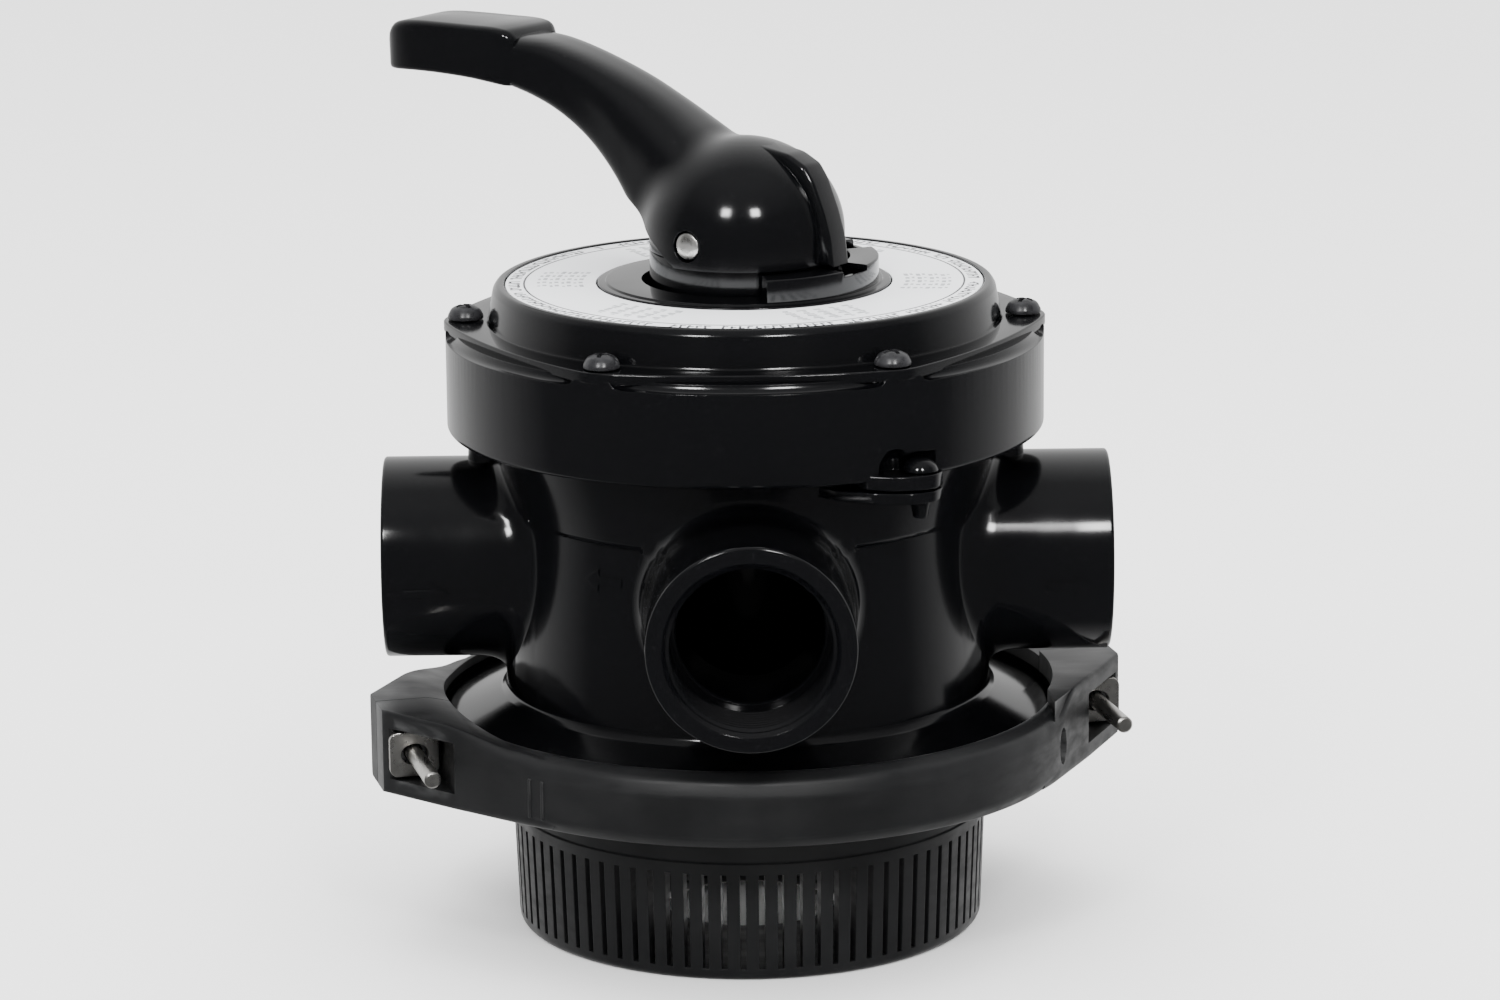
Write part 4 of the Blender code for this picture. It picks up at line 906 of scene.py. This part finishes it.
def lever():
    """Handle along +X of its own frame: a dome and an arm that flow together, a grip, a nose."""
    dome = turned("dome", [(0.0, DOME_TOP)] + [
        (DOME_R * sin(pi / 2 * k / 16), PIN_Z + (DOME_TOP - PIN_Z) * cos(pi / 2 * k / 16))
        for k in range(1, 17)] + [(DOME_R, DOME_FOOT), (0.0, DOME_FOOT)], 96)
    stations = [ARM_FROM + (ARM_TO - ARM_FROM) * k / 60 for k in range(61)]
    rings = []
    for s in stations:
        top, bottom, half = read(ARM_TOP, s), read(ARM_LOW, s), read(ARM_HALF, s)
        ring = []
        for k in range(40):
            c, h = cos(2 * pi * (k + 0.5) / 40), sin(2 * pi * (k + 0.5) / 40)
            sharp = crown(s) if h > 0 else ARM_UNDER
            ring.append((s, half * abs(c) ** sharp * (1 if c > 0 else -1),
                         (top + bottom) / 2 + (top - bottom) / 2 * abs(h) ** sharp * (1 if h > 0 else -1)))
        rings.append(ring)
    join(dome, loft("arm", rings))
    remesh = dome.modifiers.new("voxels", "REMESH")
    remesh.mode = "VOXEL"
    remesh.voxel_size = 0.8 * MM
    applied(dome)
    settle(dome.data)

    clear = prism("clear", [(5, HEM - 6), (60, HEM - 6), (60, 236), (5, 203.5)], -40, 40)
    cut(dome, tipped(clear))
    cut(dome, box("below", -60, 60, -60, 60, 190, HEM))
    join(dome, rod("heel", BEARING_R, HEM, HEEL_TOP, 96))
    join(dome, grip())
    join(dome, nose_rib())
    cut(dome, rod("bearing_room", BEARING_R + 0.5, 195.0, 205.3, 96))
    cut(dome, box("stem_slot", -15.6, 15.6, -11.7, 11.7, HEM - 5, 225.0))
    cut(dome, laid(rod("pin_hole", PIN_R + 0.25, -45, 45, 48), 90, PIN_Z))
    for side in (-1, 1):
        flare = turned("flare", [(0, 3), (PIN_R + 1.4, 3), (PIN_R + 0.2, -1.4), (0, -1.4)], 48)
        moved(flare, Matrix.Translation((0, 0, (DOME_R - 0.6) * MM)))
        cut(dome, laid(flare, 90 * side, PIN_Z))
    spun(dome, HANDLE_DEG)
    piece(dome, "handle", GLOSS, "gloss_black", "lever", "lever", smooth_deg=28.0)


def settle(mesh):
    """Move the points onto the soft union of the dome and the arm."""
    count = len(mesh.vertices)
    flat = np.empty(count * 3)
    mesh.vertices.foreach_get("co", flat)
    points = flat.reshape(-1, 3) / MM
    grid = np.linspace(-10, 90, 401)
    tops = np.array([read(ARM_TOP, s) for s in grid])
    bottoms = np.array([read(ARM_LOW, s) for s in grid])
    halves = np.array([read(ARM_HALF, s) for s in grid])
    crowns = np.array([crown(s) for s in grid])

    def field(p):
        x, y, z = p[:, 0], p[:, 1], p[:, 2]
        squash = np.where(z > PIN_Z, (z - PIN_Z) * DOME_R / (DOME_TOP - PIN_Z), 0.0)
        ball = np.sqrt(x * x + y * y + squash * squash) - DOME_R
        top, bottom, half = (np.interp(x, grid, t) for t in (tops, bottoms, halves))
        middle, tall = (top + bottom) / 2, (top - bottom) / 2
        power = np.where(z > middle, 2 / np.interp(x, grid, crowns), 2 / ARM_UNDER)
        body = (np.abs(y / half) ** power + np.abs((z - middle) / tall) ** power) ** (1 / power)
        arm = (body - 1) * np.minimum(half, tall)
        ends = np.maximum(x - ARM_TO, ARM_FROM - x)
        arm = np.maximum(arm, ends)
        h = np.clip(0.5 + 0.5 * (arm - ball) / BLEND, 0, 1)
        both = arm * (1 - h) + ball * h - BLEND * h * (1 - h)
        return np.maximum(both, DOME_FOOT - z)

    step = 0.05
    for _ in range(6):
        value = field(points)
        slope = np.stack([(field(points + np.eye(3)[i] * step) - field(points - np.eye(3)[i] * step))
                          / (2 * step) for i in range(3)], axis=1)
        size = np.maximum((slope ** 2).sum(axis=1), 0.09)
        move = slope * (value / size)[:, None]
        length = np.sqrt((move ** 2).sum(axis=1))
        points -= move * np.minimum(1.0, 0.8 / np.maximum(length, 1e-9))[:, None]
    mesh.vertices.foreach_set("co", (points * MM).ravel())
    mesh.update()
    bm = bmesh.new()
    bm.from_mesh(mesh)
    for _ in range(3):
        bmesh.ops.smooth_vert(bm, verts=bm.verts, factor=0.5, use_axis_x=True, use_axis_y=True,
                              use_axis_z=True)
    bm.to_mesh(mesh)
    bm.free()


def grip():
    """The pad at the end of the arm, with a step round its root."""
    knots = ((75.6, 11.2, 262.4, 248.4), (77.5, 12.6, 264.6, 248.2), (80.0, 13.2, GRIP_TOP - 0.4, 248.4),
             (84.0, 13.4, GRIP_TOP, 248.9), (92.0, 13.5, GRIP_TOP, 249.7), (104.0, 13.4, GRIP_TOP, 250.2),
             (113.0, 13.1, GRIP_TOP - 0.2, 250.2), (118.5, 12.5, GRIP_TOP - 0.9, 250.0),
             (121.8, 11.4, GRIP_TOP - 2.2, 249.9), (123.8, 9.8, GRIP_TOP - 4.6, 250.1),
             (124.7, 7.6, GRIP_TOP - 7.4, 251.2))
    tables = [tuple((k[0], k[i]) for k in knots) for i in (1, 2, 3)]
    rings = []
    first, last = knots[0][0], knots[-1][0]
    for j in range(61):
        s = first + (last - first) * j / 60
        half, top, bottom = (read(t, s) for t in tables)
        corner, under = min(2.4, half * 0.35), 1.3
        section = rounded([(half - 0.4, bottom, under), (half, top, corner), (-half, top, corner),
                           (0.4 - half, bottom, under)], 22.0)
        rings.append([(s, y, z) for y, z in section])
    return loft("grip", rings)


def nose_rib():
    """The index nose: a rib down the dome's far side."""
    profile = rounded([(-4, HEM), (-34.4, HEM), (-33.4, 211.5, 20.0), (-31.2, 219.0, 20.0),
                       (-27.4, 228.2, 12.0), (-24.6, 232.2, 4.0), (-19.0, 235.2, 8.0), (-4, 237.6)], 8.0)
    rib = prism("rib", profile, -5.0, 5.0, 1.6)
    return tipped(rib)


def lever_pin():
    pin = turned("pin", [(0.0, PIN_HALF + 0.25), (PIN_R * 0.6, PIN_HALF + 0.15, 3.0),
                         (PIN_R, PIN_HALF - 0.5, 0.5), (PIN_R, 0.5 - PIN_HALF, 0.5),
                         (PIN_R * 0.6, -PIN_HALF - 0.15, 3.0), (0.0, -PIN_HALF - 0.25)], SMALL)
    laid(pin, HANDLE_DEG + 90, PIN_Z)
    piece(pin, "cross_pin", STEEL, "stainless", "rotor", "lever_pin")


def bearing_ring():
    top, bottom = high("lever_bearing_ring"), low("lever_bearing_ring")
    ring = turned("bearing", [
        (11.9, top), (BEARING_R, top, 0.5), (BEARING_R, bottom, 0.3), (24.0, bottom), (24.0, 200.5, 1.0),
        (15.5, 200.5, 1.0), (15.5, bottom), (11.9, bottom)], 128)
    piece(ring, "heel_ring", GLOSS, "gloss_black", "selector", "lever_bearing_ring")


# ---- clamp

def clamp_frame(obj):
    return spun(obj, CLAMP_DEG)


def plate_shape(left):
    """A square slab across a bolt, in front of the seam."""
    w, h, corner = PLATE_W / 2, PLATE_H / 2, 2.6
    slab = prism("slab", [(-w, -h, corner), (w, -h, corner), (w, h, corner), (-w, h, corner)],
                 PLATE_BACK, PLATE_BACK + PLATE_T, 0.35)
    return shifted(tipped(slab), x=BOLT_X * left, z=BOLT_Z)


def lug_block(left, side, depth):
    """One side's lug: it grows out of the band's curve and stands level at the bolt."""
    skin, near = CLAMP_R - 0.03, 74.0
    foot = Vector(polar(skin, LUG_FOOT_DEG))
    falls = left < 0 or side > 0
    rings = []
    for k in range(31):
        x = near + (LUG_END - near) * k / 30
        t = max(0.0, (x - foot.x) / (LUG_END - foot.x))
        face = foot.y + (depth - foot.y) * t if t > 0 else sqrt(skin ** 2 - x * x)
        rise = min(1.0, t / (0.6 if falls else 0.25))
        top = CLAMP_TOP - 0.2 + (LUG_TOP - CLAMP_TOP + 0.2) * rise * rise * (3 - 2 * rise)
        over, under = 6.0 - 4.8 * rise, 3.4 - 2.0 * min(1.0, t * 2)
        low_z = CLAMP_LOW + 0.3
        sunk = max(0.0, (foot.x - x) / (foot.x - near))
        face -= 0.8 * sunk
        top -= 0.8 * sunk
        section = [(-2.0, low_z), (-2.0, top)]
        section += [(face - over + over * sin(a), top - over + over * cos(a))
                    for a in (pi / 2 * n / 6 for n in range(7))]
        section += [(face - under + under * cos(a), low_z + under - under * sin(a))
                    for a in (pi / 2 * n / 6 for n in range(7))]
        rings.append([(x * left, y * side, z) for y, z in section])
    return loft("lug", rings)


def clamp_band(front):
    side = -1 if front else 1
    band = turned("band", [
        (80.0, CLAMP_TOP), (CLAMP_R - 5.6, CLAMP_TOP, 2.0), (CLAMP_R - 1.6, CLAMP_TOP - 1.8, 3.0),
        (CLAMP_R, CLAMP_TOP - 6.2, 4.0), (CLAMP_R, CLAMP_LOW + 3.4, 3.0), (CLAMP_R - 2.6, CLAMP_LOW, 2.0),
        (80.0, CLAMP_LOW)], 192)
    depth = LUG_FRONT if front else LUG_BACK
    for left in (-1, 1):
        join(band, lug_block(left, side, depth))
    if front:
        join(band, top_pad())
    cut(band, turned("groove", [
        (0.0, CLAMP_TOP + 6), (CLAMP_LIP_R, CLAMP_TOP + 6), (CLAMP_LIP_R, GROOVE_HIGH + 1.0, 0.6),
        (CLAMP_GROOVE_R, GROOVE_HIGH - 1.8, 0.6), (CLAMP_GROOVE_R, GROOVE_LOW + 1.8, 0.6),
        (CLAMP_LIP_R, GROOVE_LOW - 1.0, 0.6), (CLAMP_LIP_R, CLAMP_LOW - 6), (0.0, CLAMP_LOW - 6)], 192))
    y0, y1 = (-0.2, 130) if front else (-130, 0.2)
    cut(band, box("other_half", -130, 130, y0, y1, CLAMP_LOW - 9, LUG_TOP + 9))
    for left in (-1, 1):
        hole = rod("hole", BOLT_R + 0.35, -80, 80, 32)
        cut(band, shifted(laid(hole, 90, BOLT_Z), BOLT_X * left))
        if front:
            pocket = box("pocket", BOLT_X - PLATE_W / 2 - 0.9, LUG_END + 9, -60.0, 0.4 - PLATE_BACK,
                         BOLT_Z - PLATE_H / 2 - 0.9, BOLT_Z + PLATE_H / 2 + 0.9)
            cut(band, pocket if left > 0 else mirrored(pocket))
        else:
            middle = BOLT_X * left
            cut(band, box("pocket", middle - 8, middle + 8, HEAD_SEAT, 60, BOLT_Z - 8, BOLT_Z + 8))
    if front:
        cut(band, mould_recess(RECESS_DEG, 3.6, 6.4))
        for bearing in FLUTES_DEG:
            join(band, flute(bearing))
    name = "front" if front else "back"
    clamp_frame(band)
    # the back half gets the black with painted sheen on its up-facing faces
    piece(band, "band_" + name, SATIN if front else TOP_SHEEN_BLACK, "satin_black", "root", "clamp_band_" + name)


def mirrored(obj):
    """Turn a shape over to the other side of X."""
    obj.data.transform(Matrix.Diagonal((-1, 1, 1, 1)))
    obj.data.flip_normals()
    return obj


def top_pad():
    """The raised, rubbed pad on top of the right lug."""
    return prism("pad", [(86.4, 2.0), (86.4, -4.6), (79.3, -56.5), (113.4, -9.6), (113.4, 2.0)],
                 CLAMP_TOP - 3.0, LUG_TOP + 0.05, 0.4)


def mould_recess(bearing, deep, wide):
    """Cutter for an oval hollow in the band's outer face."""
    pad = turned("oval", [(0.0, 3.0), (wide / 2, 3.0), (wide / 2 - 0.5, -deep, 0.6), (0.0, -deep)], 48)
    moved(pad, Matrix.Diagonal((1.9, 1.0, 1.0, 1.0)))
    moved(pad, Matrix.Translation((0, 0, CLAMP_R * MM)))
    return laid(pad, bearing, BOLT_Z - 2.0)


def flute(bearing):
    """A low upright ridge on the band's outer face."""
    ridge = prism("ridge", [(CLAMP_R - 1.0, -0.8), (CLAMP_R + 0.35, -0.5, 0.3), (CLAMP_R + 0.35, 0.5, 0.3),
                            (CLAMP_R - 1.0, 0.8)], CLAMP_LOW + 3.5, CLAMP_TOP - 6.5, 0.3)
    return spun(ridge, bearing)


def clamp_hardware(word, left):
    shank = turned("shank", [(0.0, HEAD_SEAT + 2), (BOLT_R, HEAD_SEAT + 2), (BOLT_R, 0.5 - BOLT_FRONT, 0.2),
                             (BOLT_R - 0.6, -BOLT_FRONT, 0.1), (0.0, -BOLT_FRONT)], SMALL)
    head = turned("head", [(0.0, HEAD_SEAT + 5.1), (3.9, HEAD_SEAT + 5.1), (4.6, HEAD_SEAT + 4.7),
                           (4.6, HEAD_SEAT + 1.6), (0.0, HEAD_SEAT + 1.6)], 6)
    join(shank, head)
    stand = Matrix.Translation((BOLT_X * left * MM, 0, BOLT_Z * MM)) @ Matrix.Rotation(-pi / 2, 4, "X")
    clamp_frame(moved(shank, stand))
    piece(shank, "bolt_" + word, STEEL, "stainless", "root", "clamp_bolt_" + word)

    plate = plate_shape(left)
    hole = rod("hole", BOLT_R + 0.7, -80, 80, SMALL)
    moved(hole, Matrix.Diagonal((1.0, 1.3, 1.0, 1.0)))
    cut(plate, shifted(laid(hole, 90, BOLT_Z), BOLT_X * left))
    clamp_frame(plate)
    piece(plate, "nut_plate_" + word, STEEL, "stainless", "root", "clamp_plate_" + word)

    ring = turned("ring", [(BOLT_R + 0.3, HEAD_SEAT + 1.3), (6.2, HEAD_SEAT + 1.3, 0.2),
                           (6.2, HEAD_SEAT + 0.3, 0.2), (BOLT_R + 0.3, HEAD_SEAT + 0.3)], SMALL)
    clamp_frame(moved(ring, stand))
    piece(ring, "washer_" + word, STEEL, "stainless", "root", "clamp_washer_" + word)


# ---- inner pieces

def seals():
    rows = (("pipe_o_ring", "root"), ("tank_o_ring", "root"), ("lid_o_ring", "root"),
            ("stem_o_ring_lower", "rotor"), ("stem_o_ring_upper", "rotor"))
    for node, body in rows:
        cord = (high(node) - low(node)) / 2
        middle, z = radius_of(node) - cord, (high(node) + low(node)) / 2
        corners = [(middle + cord * sin(2 * pi * k / 16), z + cord * cos(2 * pi * k / 16)) for k in range(16)]
        piece(turned("seal", corners, 96), node.replace("o_ring", "seal"), RUBBER, "seal_rubber", body, node)


def rotor_coil():
    """The spring: the part's coil copied, in steel, and hung on the selector."""
    node = "rotor_spring"
    coil = new_object("coil_spring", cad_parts[node].data.copy())
    coil.data.materials.clear()
    coil.data.materials.append(STEEL)
    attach(coil, "selector")
    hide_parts(node)
    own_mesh(coil)


def carried_over():
    """Inner pieces whose plain shape is the real one get their finish only."""
    looks = {"rotor": GREY, "spider_gasket": RUBBER, "spring_washer_lower": STEEL,
             "spring_washer_upper": WHITE}
    for node, look in looks.items():
        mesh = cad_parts[node].data
        mesh.materials.clear()
        mesh.materials.append(look)


# ---- studio

def softbox(name, place, aim, wide, tall, power):
    light = bpy.data.lights.new(name, "AREA")
    light.shape = "RECTANGLE"
    light.size, light.size_y = wide, tall
    light.energy = power
    obj = bpy.data.objects.new(name, light)
    obj.location = place
    obj.rotation_euler = (Vector(aim) - Vector(place)).to_track_quat("-Z", "Y").to_euler()
    scene.collection.objects.link(obj)
    return obj


def studio():
    floor = from_faces("floor", [(-6000, -6000, 0), (6000, -6000, 0), (6000, 6000, 0), (-6000, 6000, 0)],
                       [(0, 1, 2, 3)])
    look, tree, shader = nodes_of("floor_white")
    shader.inputs["Base Color"].default_value = (0.93, 0.93, 0.93, 1.0)
    shader.inputs["Roughness"].default_value = 0.9
    shader.inputs["Specular IOR Level"].default_value = 0.1
    floor.data.materials.append(look)
    floor.visible_glossy = False

    # An even white room for the eye, which reflects as a bright wall behind the valve.
    world = bpy.data.worlds.new("studio")
    scene.world = world
    world.use_nodes = True
    tree = world.node_tree
    back = tree.nodes["Background"]
    place = tree.nodes.new("ShaderNodeTexCoord")
    split = tree.nodes.new("ShaderNodeSeparateXYZ")
    tree.links.new(place.outputs["Generated"], split.inputs[0])
    behind = ranged(tree, split.outputs["Y"], -0.15, 0.75, 0.10, 1.05)
    above = ranged(tree, split.outputs["Z"], 0.25, 0.95, 0.0, 0.35)
    reflected = combined(tree, "MAXIMUM", behind, above)
    ray = tree.nodes.new("ShaderNodeLightPath").outputs
    seen = combined(tree, "MAXIMUM", ray["Is Camera Ray"], ray["Is Diffuse Ray"])
    mix = tree.nodes.new("ShaderNodeMix")
    tree.links.new(seen, mix.inputs["Factor"])
    tree.links.new(reflected, mix.inputs["A"])
    mix.inputs["B"].default_value = 2.7
    tree.links.new(mix.outputs["Result"], back.inputs["Strength"])
    back.inputs["Color"].default_value = (1.0, 1.0, 1.0, 1.0)

    aim = (AXIS.x, AXIS.y, 0.15)
    softbox("key_left", (-0.55, -1.25, 1.15), aim, 0.24, 0.24, 9.0)
    softbox("key_right", (0.35, -1.30, 1.15), aim, 0.24, 0.24, 9.0)
    softbox("top", (0.0, 0.1, 1.6), aim, 1.4, 1.4, 22.0).visible_glossy = False


def camera():
    """Looks a little down and a very little from the left, from 1.7 m away."""
    yaw, pitch, roll = radians(0.542), radians(13.643), radians(-0.554)
    data = bpy.data.cameras.new("camera")
    data.lens, data.sensor_width = 130.85, 36.0
    obj = bpy.data.objects.new("camera", data)
    obj.location = Vector((-13.92, -1586.96, 513.11)) * MM + AXIS
    turn = (Matrix.Rotation(-yaw, 4, "Z") @ Matrix.Rotation(pi / 2 - pitch, 4, "X")
            @ Matrix.Rotation(roll, 4, "Z"))
    obj.rotation_euler = turn.to_euler()
    scene.collection.objects.link(obj)
    scene.camera = obj


camera()
studio()
basket()
valve_body()
flow_arrows()
locking_ring()
lid()
label()
label_print()
lid_screws()
lock_rivet()
lever()
lever_pin()
bearing_ring()
clamp_band(True)
clamp_band(False)
clamp_hardware("left", -1)
clamp_hardware("right", 1)
seals()
rotor_coil()
carried_over()
